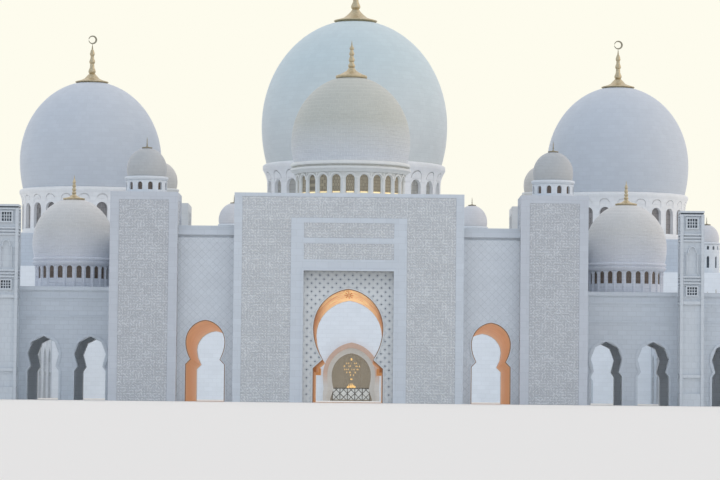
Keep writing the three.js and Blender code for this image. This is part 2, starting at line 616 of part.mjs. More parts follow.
// A raised part of the hall's roof: walls up from the slab, open below, under a flat deck
// with a round well under its dome.
function raisedRoof(x, halfWidth, y0, y1, top, dome) {
  const under = HALL_ROOF_TOP - ROOF_SLAB;
  const inner = halfWidth - BASE_WALL;
  const mass = toSolid(box(x - halfWidth, x + halfWidth, y0, y1, under, top));
  const room = toSolid(box(x - inner, x + inner, y0 + BASE_WALL, y1 - BASE_WALL, under - M, top - DECK));
  const well = roundWell(dome.drumRadius - dome.drumWall, top - DECK, top, x, GREAT_DOME_Y);
  return toGeometry(mass.subtract(room).subtract(well));
}

function middleRoof() {
  const front = HALL_FRONT + HALL_WALL;
  return raisedRoof(0, HALL_MIDDLE_HALF_WIDTH, front, HALL_MIDDLE_BACK, HALL_MIDDLE_HEIGHT, GREAT_DOME);
}

function domeBase() {
  const half = SIDE_BASE_HALF_WIDTH;
  return raisedRoof(SIDE_DOME_X, half, GREAT_DOME_Y - half, GREAT_DOME_Y + half, SIDE_BASE_TOP, SIDE_DOME);
}

// The hall's flat roof, open under its raised middle part and under the two dome bases.
function hallRoof() {
  const front = HALL_FRONT + HALL_WALL;
  const side = HALL_HALF_WIDTH - HALL_WALL;
  const half = SIDE_BASE_HALF_WIDTH;
  const under = HALL_ROOF_TOP - ROOF_SLAB;
  const cutOut = (x, halfWidth, y0, y1) => toSolid(box(x - halfWidth, x + halfWidth, y0, y1,
    under - M, HALL_ROOF_TOP + M));
  let solid = toSolid(box(-side, side, front, BUILDING_DEPTH - HALL_WALL, under, HALL_ROOF_TOP));
  solid = solid.subtract(cutOut(0, HALL_MIDDLE_HALF_WIDTH, front - M, HALL_MIDDLE_BACK));
  for (const x of [-SIDE_DOME_X, SIDE_DOME_X]) {
    solid = solid.subtract(cutOut(x, half, GREAT_DOME_Y - half, GREAT_DOME_Y + half));
  }
  return toGeometry(solid);
}

function hallArchFrame() {
  const frame = new THREE.Shape([
    ...archOutline(HALL_FRAME_ARCH),
    ...archOutline(HALL_ARCH).reverse(),
  ]);
  return standUp(frame, HALL_FRONT - HALL_FRAME_DEPTH, HALL_FRAME_DEPTH);
}

function glassScreen() {
  const pane = new THREE.Shape(archOutline(HALL_ARCH));
  return standUp(pane, HALL_FRONT + GLASS_SET_BACK, GLASS_THICKNESS);
}

// A stem from the ceiling with two crowns of lights, wide above and narrow below.
function chandelier() {
  return turned([
    [0, 1.5 * M], [0.5 * M, 1.8 * M], [0.95 * M, 2.6 * M], [0.6 * M, 3.2 * M], [0.3 * M, 3.7 * M],
    [0.9 * M, 4.4 * M], [1.4 * M, 5.4 * M], [0.8 * M, 6.3 * M], [0.2 * M, 7.4 * M],
    [0.12 * M, HALL_MIDDLE_HEIGHT - DECK], [0, HALL_MIDDLE_HEIGHT - DECK],
  ], FACETS / 2);
}

addPiece('portal_front_wall', portalFrontWall(), stone);
addPiece('courtyard_wall', courtyardWall(), stone);
addPiece('portal_vault', portalVault(), litSoffit);
addPiece('nave_roof', naveRoof(), stone);
addPiece('entrance_drum', drum(ENTRANCE_DOME), warmStone, 0, ENTRANCE_DOME_Y);
addPiece('entrance_dome', domeShell(ENTRANCE_DOME, ENTRANCE_FINIAL), warmStone, 0, ENTRANCE_DOME_Y);
addPiece('entrance_finial', separateFinial(ENTRANCE_DOME, ENTRANCE_FINIAL), gold, 0, ENTRANCE_DOME_Y);

// Everything beside the axis is built once for the right and mirrored for the left.
const paired = [
  ['nave_wall', naveWall(), stone],
  ['curtain_wall', curtainWall(), stone],
  ['keyhole_vault', keyholeVault(), litSoffit],
  ['aisle_roof', aisleRoof(), stone],
  ['front_tower', tower().translate(TOWER_INNER_X, 0, 0), stone],
  ['rear_tower', tower().translate(TOWER_INNER_X, BLOCK_DEPTH - TOWER_DEPTH, 0), stone],
  ['wing_front_wall', wingWall(WING_END_X, WING_FRONT_BAYS, WING_FRONT), stone],
  ['wing_rear_wall', wingWall(WING_END_X - ARCADE_WALL, WING_REAR_BAYS, WING_BACK - ARCADE_WALL), stone],
  ['wing_roof', wingRoof(), stone],
  ['wing_dome', wingDome().translate(WING_DOME_X, WING_DOME_Y, 0), warmStone],
  ['pylon', pylon().translate(PYLON_X, WING_FRONT - PYLON_WIDTH, 0), stone],
  ['outer_arcade', outerArcade(), stone],
  ['inner_arcade', innerArcade(), stone],
  ['range_roof', rangeRoof(), stone],
  ['dome_base', domeBase(), stone],
  ['side_drum', drum(SIDE_DOME).translate(SIDE_DOME_X, GREAT_DOME_Y, 0), stone],
  ['side_dome', domeShell(SIDE_DOME, SIDE_FINIAL).translate(SIDE_DOME_X, GREAT_DOME_Y, 0), stone],
  ['side_finial', separateFinial(SIDE_DOME, SIDE_FINIAL).translate(SIDE_DOME_X, GREAT_DOME_Y, 0), gold],
  ['hall_turret', turretDome(TURRET_DOME).translate(FRONT_TURRET_X, TURRET_Y, 0), stone],
  ['corner_turret', turretDome(CORNER_TURRET_DOME).translate(CORNER_TURRET_X, TURRET_Y, 0), stone],
];
for (const [name, geometry, material] of paired) {
  addPiece(`right_${name}`, geometry, material);
  addPiece(`left_${name}`, mirrorX(geometry), material);
}

addPiece('hall_front_wall', hallFrontWall(), brightStone);
addPiece('hall_outer_wall', hallOuterWall(), stone);
addPiece('hall_roof', hallRoof(), stone);
addPiece('middle_roof', middleRoof(), stone);
addPiece('hall_arch_frame', hallArchFrame(), brightStone);
addPiece('glass_screen', glassScreen(), glass);
addPiece('chandelier', chandelier(), gold, 0, CHANDELIER_Y);
addPiece('great_drum', drum(GREAT_DOME), stone, 0, GREAT_DOME_Y);
addPiece('great_dome', domeShell(GREAT_DOME, GREAT_FINIAL), stone, 0, GREAT_DOME_Y);
addPiece('great_finial', separateFinial(GREAT_DOME, GREAT_FINIAL), gold, 0, GREAT_DOME_Y);

export default mosque;
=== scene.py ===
"""Looks of a domed marble mosque around its packed 1:10 frame."""

import math
import random

import bmesh
import bpy
from mathutils import Matrix, Vector


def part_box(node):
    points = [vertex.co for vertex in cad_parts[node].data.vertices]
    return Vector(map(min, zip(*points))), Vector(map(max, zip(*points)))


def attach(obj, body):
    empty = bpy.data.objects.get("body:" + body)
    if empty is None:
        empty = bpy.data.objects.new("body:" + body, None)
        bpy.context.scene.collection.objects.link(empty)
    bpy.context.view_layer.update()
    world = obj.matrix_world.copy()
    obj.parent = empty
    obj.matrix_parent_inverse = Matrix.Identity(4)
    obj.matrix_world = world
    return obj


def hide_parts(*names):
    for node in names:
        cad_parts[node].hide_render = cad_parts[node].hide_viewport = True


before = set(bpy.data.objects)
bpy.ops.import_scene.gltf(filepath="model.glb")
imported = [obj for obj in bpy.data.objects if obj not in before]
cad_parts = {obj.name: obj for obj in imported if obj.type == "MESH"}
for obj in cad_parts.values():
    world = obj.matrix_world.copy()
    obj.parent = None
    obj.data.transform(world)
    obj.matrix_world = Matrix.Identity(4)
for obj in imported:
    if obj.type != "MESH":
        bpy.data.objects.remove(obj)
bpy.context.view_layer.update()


# Camera. The photographer stood far in front of the portal, a little right of its axis, with a
# long lens tilted up slightly. M is one metre of the real building in the 1:10 model.
def put_in_scene(name, data):
    """Makes an object of camera, lamp or mesh data and puts it in the scene."""
    thing = bpy.data.objects.new(name, data)
    bpy.context.scene.collection.objects.link(thing)
    return thing


M = 0.1
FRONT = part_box("portal_front_wall")[0].y
EYE = Vector((1.78 * M, FRONT - 387.5 * M, 1.0 * M))
LOOK_LEFT = 3.3 / 3100
LOOK_UP = math.atan(0.05)
LEAN = 0.0101
lens = bpy.data.cameras.new("front_camera")
lens.lens = 155
lens.clip_start = 1
lens.clip_end = 300
camera = put_in_scene("front_camera", lens)
camera.matrix_world = (Matrix.Translation(EYE) @ Matrix.Rotation(LOOK_LEFT, 4, "Z")
                       @ Matrix.Rotation(math.pi / 2 + LOOK_UP, 4, "X") @ Matrix.Rotation(LEAN, 4, "Z"))
bpy.context.scene.camera = camera


# Studio. A pale floor meets a cream backdrop, in an even, slightly cool light. A broad, warm lamp
# low on the right brightens that side, as the sky does before sunset, and a second, broader one
# shines from behind on the sides that the photo shows lit from there.
def linear(code):
    """Turns an sRGB hex colour into the linear values that shaders read."""
    channels = [int(code[i:i + 2], 16) / 255 for i in (1, 3, 5)]
    return tuple(c / 12.92 if c <= 0.04045 else ((c + 0.055) / 1.055) ** 2.4 for c in channels) + (1.0,)


def feed(node, inputs):
    """Gives a node's inputs their values, or the outputs that feed them."""
    for name, value in dict(inputs).items():
        if isinstance(value, bpy.types.NodeSocket):
            node.id_data.links.new(value, node.inputs[name])
        else:
            node.inputs[name].default_value = value


def add_node(tree, kind, inputs=(), **settings):
    """Adds a node with its settings and its inputs."""
    node = tree.nodes.new(kind)
    for name, value in settings.items():
        setattr(node, name, value)
    feed(node, inputs)
    return node


def new_finish(name, roughness):
    """A new material and its surface shader."""
    finish = bpy.data.materials.new(name)
    finish.use_nodes = True
    surface = finish.node_tree.nodes["Principled BSDF"]
    surface.inputs["Roughness"].default_value = roughness
    return finish, surface


def mesh_from(name, shape):
    """Turns a shape into mesh data and frees the shape."""
    mesh = bpy.data.meshes.new(name)
    shape.to_mesh(mesh)
    shape.free()
    return mesh


BACKDROP = "#FEFCEE"
SKY_LIGHT = "#E3EDFB"
SKY_STRENGTH = 0.91
FLOOR_STONE = "#F1EDE6"
FLOOR_HALF = 250
world = bpy.data.worlds.new("studio")
bpy.context.scene.world = world
world.use_nodes = True
tree = world.node_tree
backdrop = add_node(tree, "ShaderNodeBackground", {"Color": linear(BACKDROP), "Strength": 1.0})
soft_light = add_node(tree, "ShaderNodeBackground", {"Color": linear(SKY_LIGHT), "Strength": SKY_STRENGTH})
seen = add_node(tree, "ShaderNodeLightPath").outputs["Is Camera Ray"]
shown = add_node(tree, "ShaderNodeMixShader", {0: seen, 1: soft_light.outputs[0], 2: backdrop.outputs[0]})
feed(tree.nodes["World Output"], {"Surface": shown.outputs[0]})
bpy.context.scene.view_settings.view_transform = "Standard"

for name, strength, breadth, colour, tilt, turn in (
        ("soft_lamp", 0.34, 50, "#FFDDAE", 68, 75), ("rear_glow", 0.85, 140, "#FFDDB0", 75, 160)):
    lamp = bpy.data.lights.new(name, "SUN")
    lamp.energy = strength
    lamp.angle = math.radians(breadth)
    lamp.color = linear(colour)[:3]
    put_in_scene(name, lamp).rotation_euler = (math.radians(tilt), 0, math.radians(turn))

floor_shape = bmesh.new()
bmesh.ops.create_grid(floor_shape, x_segments=1, y_segments=1, size=FLOOR_HALF)
floor = put_in_scene("floor", mesh_from("floor", floor_shape))
floor_finish, floor_surface = new_finish("pale_floor", 0.9)
feed(floor_surface, {"Base Color": linear(FLOOR_STONE)})
floor.data.materials.append(floor_finish)


# Marble cladding. Honed white marble, sawn into slabs and laid in courses over the masonry. In
# shade it reads pale blue-grey, each slab a little different. The joints, really a few
# millimetres wide, are drawn 60 mm wide so that they show.
def position(tree):
    """Where a point of the surface lies: the whole vector, then X, Y and Z."""
    place = add_node(tree, "ShaderNodeTexCoord").outputs["Object"]
    return place, *add_node(tree, "ShaderNodeSeparateXYZ", {0: place}).outputs


def maths(tree, operation, *values):
    """The result of a sum on numbers or on other nodes' outputs."""
    return add_node(tree, "ShaderNodeMath", enumerate(values), operation=operation).outputs[0]


def spread(tree, value, start, end, low=0.0, high=1.0):
    """How far a value is from start to end, laid out from low to high."""
    return add_node(tree, "ShaderNodeMapRange", {
        "Value": value, 1: start, 2: end, 3: low, 4: high}).outputs[0]


def times(tree, colour, factor):
    """A colour multiplied by another colour or by a number."""
    return add_node(tree, "ShaderNodeVectorMath", {0: colour, 1: factor}, operation="MULTIPLY").outputs[0]


def mixed(tree, share, first, second):
    """A colour that lies between two others."""
    return add_node(tree, "ShaderNodeMix", {
        "Factor": share, 6: first, 7: second}, data_type="RGBA").outputs[2]


def noise(tree, place, per_metre, detail, roughness=0.5):
    """Soft random patches, so many to a real metre."""
    return add_node(tree, "ShaderNodeTexNoise", {
        "Vector": place, "Scale": per_metre / M, "Detail": detail, "Roughness": roughness}).outputs["Fac"]


def bump(tree, height, strength, depth):
    """A surface normal that follows a height, so many real metres deep."""
    return add_node(tree, "ShaderNodeBump", {
        "Height": height, "Strength": strength, "Distance": depth * M}).outputs[0]


CLOUD = 0.02


def cladding(name, stone, slab, course, joint=0.06, tint=0.02, shade=0.95, centre=None, roughness=0.5,
             glow=0.0, low=None, groove=0.4):
    """Slabs of marble, on flat walls or, given a centre and radius, round a drum or a dome.

    Low is a colour that the stone takes towards its foot, and the heights between which it changes to it; the
    recess and the domes use it for painted light and shade. Glow is painted light: how strongly the stone
    shines by itself."""
    finish, surface = new_finish(name, roughness)
    tree = finish.node_tree
    place, across, back, height = position(tree)
    if centre:
        x, y, radius = centre
        if x:
            across = maths(tree, "ABSOLUTE", across)
        across = maths(tree, "SUBTRACT", across, x * M)
        back = maths(tree, "SUBTRACT", back, FRONT + y * M)
        along = maths(tree, "MULTIPLY", maths(tree, "ARCTAN2", across, back), radius * M)
        slab = 2 * math.pi * radius / round(2 * math.pi * radius / slab)
    else:
        along = maths(tree, "ADD", across, back)
    laid = add_node(tree, "ShaderNodeCombineXYZ", {"X": along, "Y": height}).outputs[0]
    light = Vector(linear(stone))
    slabs = add_node(tree, "ShaderNodeTexBrick", {
        "Vector": laid, "Scale": 1.0, "Brick Width": slab * M, "Row Height": course * M,
        "Mortar Size": joint * M / 2, "Mortar Smooth": 0.3, "Color1": light * (1 + tint),
        "Color2": light * (1 - tint), "Mortar": light * shade,
    }).outputs
    veins = noise(tree, place, 0.45, 6.0, 0.6)
    colour = times(tree, slabs["Color"], spread(tree, veins, 0.3, 0.7, 1 - CLOUD, 1 + CLOUD))
    if low:
        foot_colour, start, end = low
        foot_tint = [foot / body for foot, body in zip(linear(foot_colour), linear(stone))]
        share = spread(tree, height, start * M, end * M)
        colour = times(tree, colour, mixed(tree, share, foot_tint, (1, 1, 1, 1)))
    relief = maths(tree, "SUBTRACT", 1.0, slabs["Fac"])
    feed(surface, {"Base Color": colour, "Normal": bump(tree, relief, groove, 0.04)})
    if glow:
        feed(surface, {"Emission Color": colour, "Emission Strength": glow})
    return finish


def honed_marble(name, stone, glow=0.0):
    """Smooth marble in large slabs, for bands and quoins."""
    return cladding(name, stone, 1.6, 0.8, tint=0.025, shade=0.93, glow=glow)


PANEL_SLAB = 1.03


def carved_marble(name, hollow, raised, glow=0.0):
    """A carved panel's two finishes: rough in the hollows and painted darker there as shade, smoother and
    painted lighter on what stands up.
    """
    return (cladding(name + "hollow_marble", hollow, PANEL_SLAB, PANEL_SLAB, tint=0.03, shade=0.93,
                     roughness=0.65, glow=glow),
            cladding(name + "raised_marble", raised, PANEL_SLAB, PANEL_SLAB, tint=0.03, roughness=0.6,
                     glow=glow))


smooth_marble = honed_marble("honed_marble", "#D3DAE1")
hollow_marble, raised_marble = carved_marble("", "#C7CACD", "#DADDDE")


# Portal wall. Two metres of masonry faced with marble: smooth bands frame carved panels, and the
# recess round the keyhole arch carries a strap lattice set with small dark inlays.
def block(shape, x0, x1, y0, y1, z0, z1):
    """A block of stone between two corners, in real metres from the portal's foot."""
    size = Matrix.Diagonal((abs(x1 - x0) * M, (y1 - y0) * M, (z1 - z0) * M, 1))
    middle = Vector(((x0 + x1) / 2 * M, FRONT + (y0 + y1) / 2 * M, (z0 + z1) / 2 * M))
    bmesh.ops.create_cube(shape, size=1, matrix=Matrix.Translation(middle) @ size)


def blocks(shape, inner, outer, *rest):
    """The same block on both sides of the middle."""
    for side in (-1, 1):
        block(shape, side * inner, side * outer, *rest)


def line_up(shape, line, y):
    """Makes the points of a line in X and Z, at one depth."""
    return [shape.verts.new((x * M, FRONT + y * M, z * M)) for x, z in line]


def plate(shape, outline, y0, y1, steps=1, fall=0.0):
    """A stone plate with the given outline in X and Z, from y0 back to y1, sinking by fall on the way."""
    face = shape.faces.new(line_up(shape, outline, y0))
    whole = {face}
    rim = [face]
    for i in range(steps):
        grown = bmesh.ops.extrude_face_region(shape, geom=rim)["geom"]
        rim = [part for part in grown if isinstance(part, bmesh.types.BMFace)]
        edge = [part for part in grown if isinstance(part, bmesh.types.BMVert)]
        bmesh.ops.translate(shape, vec=(0, (y1 - y0) / steps * M, 0), verts=edge)
        sink = (1 - fall * (i + 1) / steps) / (1 - fall * i / steps)
        bmesh.ops.scale(shape, vec=(1, 1, sink), verts=edge)
        for vert in edge:
            whole.update(vert.link_faces)
    bmesh.ops.recalc_face_normals(shape, faces=[part for part in whole if part.is_valid])


def arch_line(arch, centre=0.0, steps=18):
    """The outline of a keyhole arch from its left foot over the crown to its right foot."""
    head = arch["half"] + arch["point"]
    sweep = math.acos(arch["point"] / head)
    below = math.asin((arch["spring"] - arch["cusp"]) / arch["lower"])
    right = [(arch["foot"], 0.0), (arch["foot"], arch["jamb"])]
    for i in range(steps // 3):
        angle = below * (1 - i / (steps // 3))
        right.append((arch["half"] - arch["lower"] * (1 - math.cos(angle)),
                      arch["spring"] - arch["lower"] * math.sin(angle)))
    for i in range(steps):
        angle = sweep * i / steps
        right.append((head * math.cos(angle) - arch["point"], arch["spring"] + head * math.sin(angle)))
    crown = (0.0, arch["spring"] + head * math.sin(sweep))
    left = [(-x, z) for x, z in right]
    return [(centre + x, z) for x, z in left + [crown] + right[::-1]]


def round_arch(line, left, right, top):
    """The outline of a panel of wall with an arch cut out of it."""
    return [(left, 0), *line, (right, 0), (right, top), (left, top)]


def set_piece(name, shape, finish, slot, *stands_for, soften=None):
    """Makes a shape a piece of the building in its place, standing for the nodes it replaces."""
    for face in shape.faces:
        face.smooth = soften is not None
    mesh = mesh_from(name, shape)
    if soften:
        mesh.set_sharp_from_angle(angle=math.radians(soften))
    piece = put_in_scene(name, mesh)
    mesh.materials.append(finish)
    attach(piece, "root")
    if stands_for:
        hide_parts(*stands_for)


def repeat(shape, count, step):
    """Lays a shape out in a row, a step of real metres apart, with an Array modifier."""
    mesh = mesh_from("row", shape)
    row = put_in_scene("row", mesh)
    array = row.modifiers.new("row", "ARRAY")
    array.count = count
    array.use_relative_offset = False
    array.use_constant_offset = True
    array.constant_offset_displace = Vector(step) * M
    laid = bpy.data.meshes.new_from_object(row.evaluated_get(bpy.context.evaluated_depsgraph_get()))
    result = bmesh.new()
    result.from_mesh(laid)
    bpy.data.objects.remove(row)
    bpy.data.meshes.remove(mesh)
    bpy.data.meshes.remove(laid)
    return result


def join(shape, *others):
    """Adds other shapes' faces to a shape."""
    for other in others:
        mesh = mesh_from("part", other)
        shape.from_mesh(mesh)
        bpy.data.meshes.remove(mesh)
    return shape


FACING_FRONT = Matrix.Rotation(math.pi / 2, 4, "X")
HALF_DIAGONAL = 0.7071


def leaf(tile, x, z, turn, length, width, rise):
    """One carved leaf: a low four-sided pyramid that faces the front."""
    place = Matrix.Translation((x * M, FRONT, z * M)) @ Matrix.Rotation(turn, 4, "Y")
    size = Matrix.Diagonal((length * M, rise * M, width * M, 1)) @ FACING_FRONT
    square = Matrix.Rotation(math.pi / 4, 4, "Z") @ Matrix.Translation((0, 0, 0.5))
    bmesh.ops.create_cone(tile, segments=4, radius1=HALF_DIAGONAL, radius2=0.0, depth=1, cap_ends=False,
                          matrix=place @ size @ square)


CARVED_TILE = 6.2
LEAF_PITCH = 0.36


def carve(x0, x1, z0, z1, y, seed):
    """A panel's carving: short strokes that face the front and lie every way."""
    dice = random.Random(seed)
    columns = max(1, round((x1 - x0) / CARVED_TILE))
    rows = max(1, round((z1 - z0) / CARVED_TILE))
    across = max(1, round((x1 - x0) / columns / LEAF_PITCH))
    upward = max(1, round((z1 - z0) / rows / LEAF_PITCH))
    wide = (x1 - x0) / columns / across
    high = (z1 - z0) / rows / upward
    tile = bmesh.new()
    for i in range(across):
        for j in range(upward):
            turn = dice.choice((0, 0, 2, 1, 3)) * math.pi / 4 + dice.uniform(-0.45, 0.45)
            x = x0 + (i + 0.5 + dice.uniform(-0.15, 0.15)) * wide
            z = z0 + (j + 0.5 + dice.uniform(-0.15, 0.15)) * high
            leaf(tile, x, z, turn, dice.uniform(0.16, 0.52), dice.uniform(0.08, 0.22), 0.09)
    bmesh.ops.translate(tile, vec=(0, y * M, 0), verts=tile.verts)
    return repeat(repeat(tile, columns, (wide * across, 0, 0)), rows, (0, 0, high * upward))


def inside(point, outline):
    """Whether a point of the XZ plane lies within an outline."""
    within = False
    for (xa, za), (xb, zb) in zip(outline, outline[1:] + outline[:1]):
        if (za > point.y) != (zb > point.y) and point.x < xa + (point.y - za) * (xb - xa) / (zb - za):
            within = not within
    return within


def bar_spans(start, end, outline, within):
    """The stretches of a straight bar that lie within an outline, or clear of it."""
    run = end - start
    cuts = [0.0, 1.0]
    for a, b in zip(outline, outline[1:] + outline[:1]):
        edge = Vector(b) - Vector(a)
        gap = Vector(a) - start
        turn = run.x * edge.y - run.y * edge.x
        if abs(turn) > 1e-9:
            cut = (gap.x * edge.y - gap.y * edge.x) / turn
            share = (gap.x * run.y - gap.y * run.x) / turn
            if 0 <= share < 1 and 0 < cut < 1:
                cuts.append(cut)
    cuts.sort()
    spans = []
    for low, high in zip(cuts, cuts[1:]):
        if (high - low) * run.length > 0.05 and inside(start + run * (low + high) / 2, outline) == within:
            spans.append((start + run * low, start + run * high))
    return spans


def bar(shape, start, end, width, y0, y1):
    """A straight bar of stone or metal between two points of the XZ plane, from y0 back to y1."""
    run = end - start
    middle = (start + end) / 2
    place = Matrix.Translation((middle.x * M, FRONT + (y0 + y1) / 2 * M, middle.y * M))
    turn = Matrix.Rotation(-math.atan2(run.y, run.x), 4, "Y")
    size = Matrix.Diagonal((run.length * M, (y1 - y0) * M, width * M, 1))
    bmesh.ops.create_cube(shape, size=1, matrix=place @ turn @ size)


SHORTEST_STRAP = 0.15
STRAP_LAP = 0.015


def strap_lattice(shape, x0, x1, z0, z1, pitch, width, y0, y1, outline, within=False):
    """Straps crossing at 45 degrees over a panel, pitch apart along the level, cut at an outline."""
    for slope, face in ((1, y0), (-1, y0 + STRAP_LAP)):
        first = math.floor((z0 - slope * (x1 if slope > 0 else x0)) / pitch) - 1
        last = math.ceil((z1 - slope * (x0 if slope > 0 else x1)) / pitch) + 1
        for i in range(first, last + 1):
            rise = (i + 0.5) * pitch
            low = max(x0, min((z0 - rise) * slope, (z1 - rise) * slope))
            high = min(x1, max((z0 - rise) * slope, (z1 - rise) * slope))
            if high - low < SHORTEST_STRAP:
                continue
            ends = Vector((low, rise + slope * low)), Vector((high, rise + slope * high))
            for a, b in bar_spans(*ends, outline, within):
                bar(shape, a, b, width, face, y1)


def band_between(shape, low_line, high_line, y0, y1):
    """A moulding between two lines with as many points each, from y0 back to y1."""
    low_verts = line_up(shape, low_line, y0)
    high_verts = line_up(shape, high_line, y0)
    faces = [shape.faces.new((low_verts[i], low_verts[i + 1], high_verts[i + 1], high_verts[i]))
             for i in range(len(low_verts) - 1)]
    grown = bmesh.ops.extrude_face_region(shape, geom=faces)["geom"]
    back = [part for part in grown if isinstance(part, bmesh.types.BMVert)]
    bmesh.ops.translate(shape, vec=(0, (y1 - y0) * M, 0), verts=back)
    whole = {face for vert in low_verts + back for face in vert.link_faces}
    bmesh.ops.recalc_face_normals(shape, faces=list(whole))


def beside(line, reach):
    """The line that runs a distance outside another one, which goes from left to right."""
    moved = []
    for i, (x, z) in enumerate(line):
        way = (Vector(line[min(i + 1, len(line) - 1)]) - Vector(line[max(i - 1, 0)])).normalized()
        moved.append((x - way.y * reach, max(z + way.x * reach, 0)))
    return moved


def moulding(shape, line, width, y0, y1):
    """A moulding of some width along the outside of a line."""
    band_between(shape, line, beside(line, width), y0, y1)


def stud(shape, place, segments, radius1, radius2, depth):
    """A round stud with closed ends, which may taper."""
    bmesh.ops.create_cone(shape, segments=segments, radius1=radius1 * M, radius2=radius2 * M, depth=depth * M,
                          cap_ends=True, matrix=place)


PORTAL = {"half": 4.4, "point": 0.6, "spring": 9.3, "lower": 6.9, "cusp": 5.4, "jamb": 4.3, "foot": 4.4}
NAVE_HALF = 14.4
NAVE_TOP = 26.2
WALL_BACK = 2.0
PROUD = 0.06
SUNK = 0.02
RECESS_HALF = 5.65
RECESS_TOP = 16.5
RECESS_BACK = 0.8
RECESS_LIP = 0.3
BAND_EDGE = 7.25
EDGE_BAND = 13.4
FRIEZE_FOOT = 23.1
TOP_BAND = 25.75
STRAP_PITCH = 1.03
portal_line = arch_line(PORTAL, steps=30)
masonry = bmesh.new()
blocks(masonry, RECESS_HALF, NAVE_HALF, PROUD, WALL_BACK, 0, NAVE_TOP)
block(masonry, -RECESS_HALF, RECESS_HALF, PROUD, WALL_BACK, RECESS_TOP, NAVE_TOP)
bands = bmesh.new()
blocks(bands, RECESS_HALF, BAND_EDGE, 0, PROUD, 0, FRIEZE_FOOT)
blocks(bands, EDGE_BAND, NAVE_HALF, 0, PROUD, 0, NAVE_TOP)
blocks(bands, RECESS_HALF, RECESS_HALF + RECESS_LIP, -PROUD, SUNK, 0, RECESS_TOP + RECESS_LIP)
for low, high in ((RECESS_TOP, 17.9), (19.9, 20.6), (22.5, FRIEZE_FOOT)):
    block(bands, -RECESS_HALF, RECESS_HALF, 0, PROUD, low, high)
block(bands, -RECESS_HALF, RECESS_HALF, -PROUD, SUNK, RECESS_TOP, RECESS_TOP + RECESS_LIP)
block(bands, -EDGE_BAND, EDGE_BAND, 0, PROUD, TOP_BAND, NAVE_TOP)
set_piece("portal_bands", bands, smooth_marble, "marble")
carving = bmesh.new()
for seed, panel in enumerate((
        (-EDGE_BAND, -BAND_EDGE, 0, FRIEZE_FOOT), (BAND_EDGE, EDGE_BAND, 0, FRIEZE_FOOT),
        (-EDGE_BAND, EDGE_BAND, FRIEZE_FOOT, TOP_BAND), (-RECESS_HALF, RECESS_HALF, 17.9, 19.9),
        (-RECESS_HALF, RECESS_HALF, 20.6, 22.5))):
    join(carving, carve(*panel, PROUD, seed))
set_piece("portal_carving", carving, raised_marble, "marble")
set_piece("portal_wall", masonry, hollow_marble, "marble", "portal_front_wall")

# Painted shade: the recess and its straps turn darker towards the head of the recess, where its overhang
# shades them, and the recess ground is painted darker than the straps, as shade between them.
RECESS_LIGHT_FROM = 13.8
RECESS_LIGHT_TO = 16.4
recess = bmesh.new()
plate(recess, round_arch(portal_line, -RECESS_HALF, RECESS_HALF, RECESS_TOP), RECESS_BACK, WALL_BACK)
straps = bmesh.new()
strap_lattice(straps, -RECESS_HALF, RECESS_HALF, 0.15, RECESS_TOP, STRAP_PITCH, 0.34, RECESS_BACK - 0.045,
              RECESS_BACK + SUNK, [(-4.65, -1), *beside(portal_line, 0.2), (4.65, -1)])
moulding(straps, portal_line, 0.14, RECESS_BACK - 0.1, RECESS_BACK + SUNK)
for name, shape, finish_name, stone, foot_colour in (
        ("portal_recess", recess, "shaded_recess_marble", "#B7BBBE", "#D5D9DB"),
        ("portal_recess_straps", straps, "strap_marble", "#C1C4C4", "#E0E3E3")):
    finish = cladding(finish_name, stone, PANEL_SLAB, PANEL_SLAB,
                      low=(foot_colour, RECESS_LIGHT_FROM, RECESS_LIGHT_TO))
    set_piece(name, shape, finish, "marble")

inlay_stone = cladding("dark_inlay", "#646E78", 1, 1, tint=0.1, shade=0.8, roughness=0.3)
inlays = bmesh.new()
clear_line = [(-4.8, -1), *((x * 1.07, z + 0.25) for x, z in portal_line), (4.8, -1)]
for row in range(33):
    for column in range(-6, 7):
        spot = Vector(((column + row % 2 / 2) * STRAP_PITCH, row * STRAP_PITCH / 2))
        on_recess = abs(spot.x) < RECESS_HALF - 0.2 and 0.2 < spot.y < RECESS_TOP - 0.3
        if on_recess and not inside(spot, clear_line):
            place = Matrix.Translation((spot.x * M, FRONT + RECESS_BACK * M, spot.y * M)) @ FACING_FRONT
            stud(inlays, place, 8, 0.09, 0.075, 0.2)
set_piece("portal_inlays", inlays, inlay_stone, "marble")


# Passages. The keyhole vaults run back to the courtyard, plastered and lit by lamps hidden along their cusps,
# so the plaster glows orange, brightest at the crown. A star in relief lies on a low medallion in the
# portal's soffit. A band of brown marble along the edge of each arch is painted shadow, standing for the
# shadow gap between the marble facing and the plaster.
def lamp_lit_plaster(name, dim, bright, low, high, glow):
    """Plaster under warm lamps, dim below a height and in front, bright above another and far back."""
    finish, surface = new_finish(name, 0.6)
    tree = finish.node_tree
    place, _, back, height = position(tree)
    rise = spread(tree, height, low * M, high * M)
    depth = spread(tree, back, FRONT + WALL_BACK * M, FRONT + REAR_FACE * M, 0.0, 0.3)
    lit = spread(tree, noise(tree, place, 0.8, 3.0), 0.35, 0.65, 0.3, 1.1)
    colour = mixed(tree, maths(tree, "MULTIPLY_ADD", rise, lit, depth), linear(dim), linear(bright))
    feed(surface, {"Base Color": colour, "Emission Color": colour, "Emission Strength": glow})
    return finish


def mirrored(shape):
    """The mirror image of a shape, for the left half of the building."""
    twin = shape.copy()
    bmesh.ops.scale(twin, vec=(-1, 1, 1), verts=twin.verts)
    bmesh.ops.reverse_faces(twin, faces=twin.faces)
    return twin


def set_pair(name, shape, finish, slot, *stands_for, soften=None):
    """The right-hand piece and its mirror image on the left."""
    for side, half in (("left_", mirrored(shape)), ("right_", shape)):
        set_piece(side + name, half, finish, slot, *(side + node for node in stands_for), soften=soften)


def rosette(shape, x, z, petals, reach, length, width, rise):
    """Leaves that point out all round a spot."""
    for petal in range(petals):
        turn = 2 * math.pi * petal / petals
        leaf(shape, x + reach * math.cos(turn), z - reach * math.sin(turn), turn, length, width, rise)


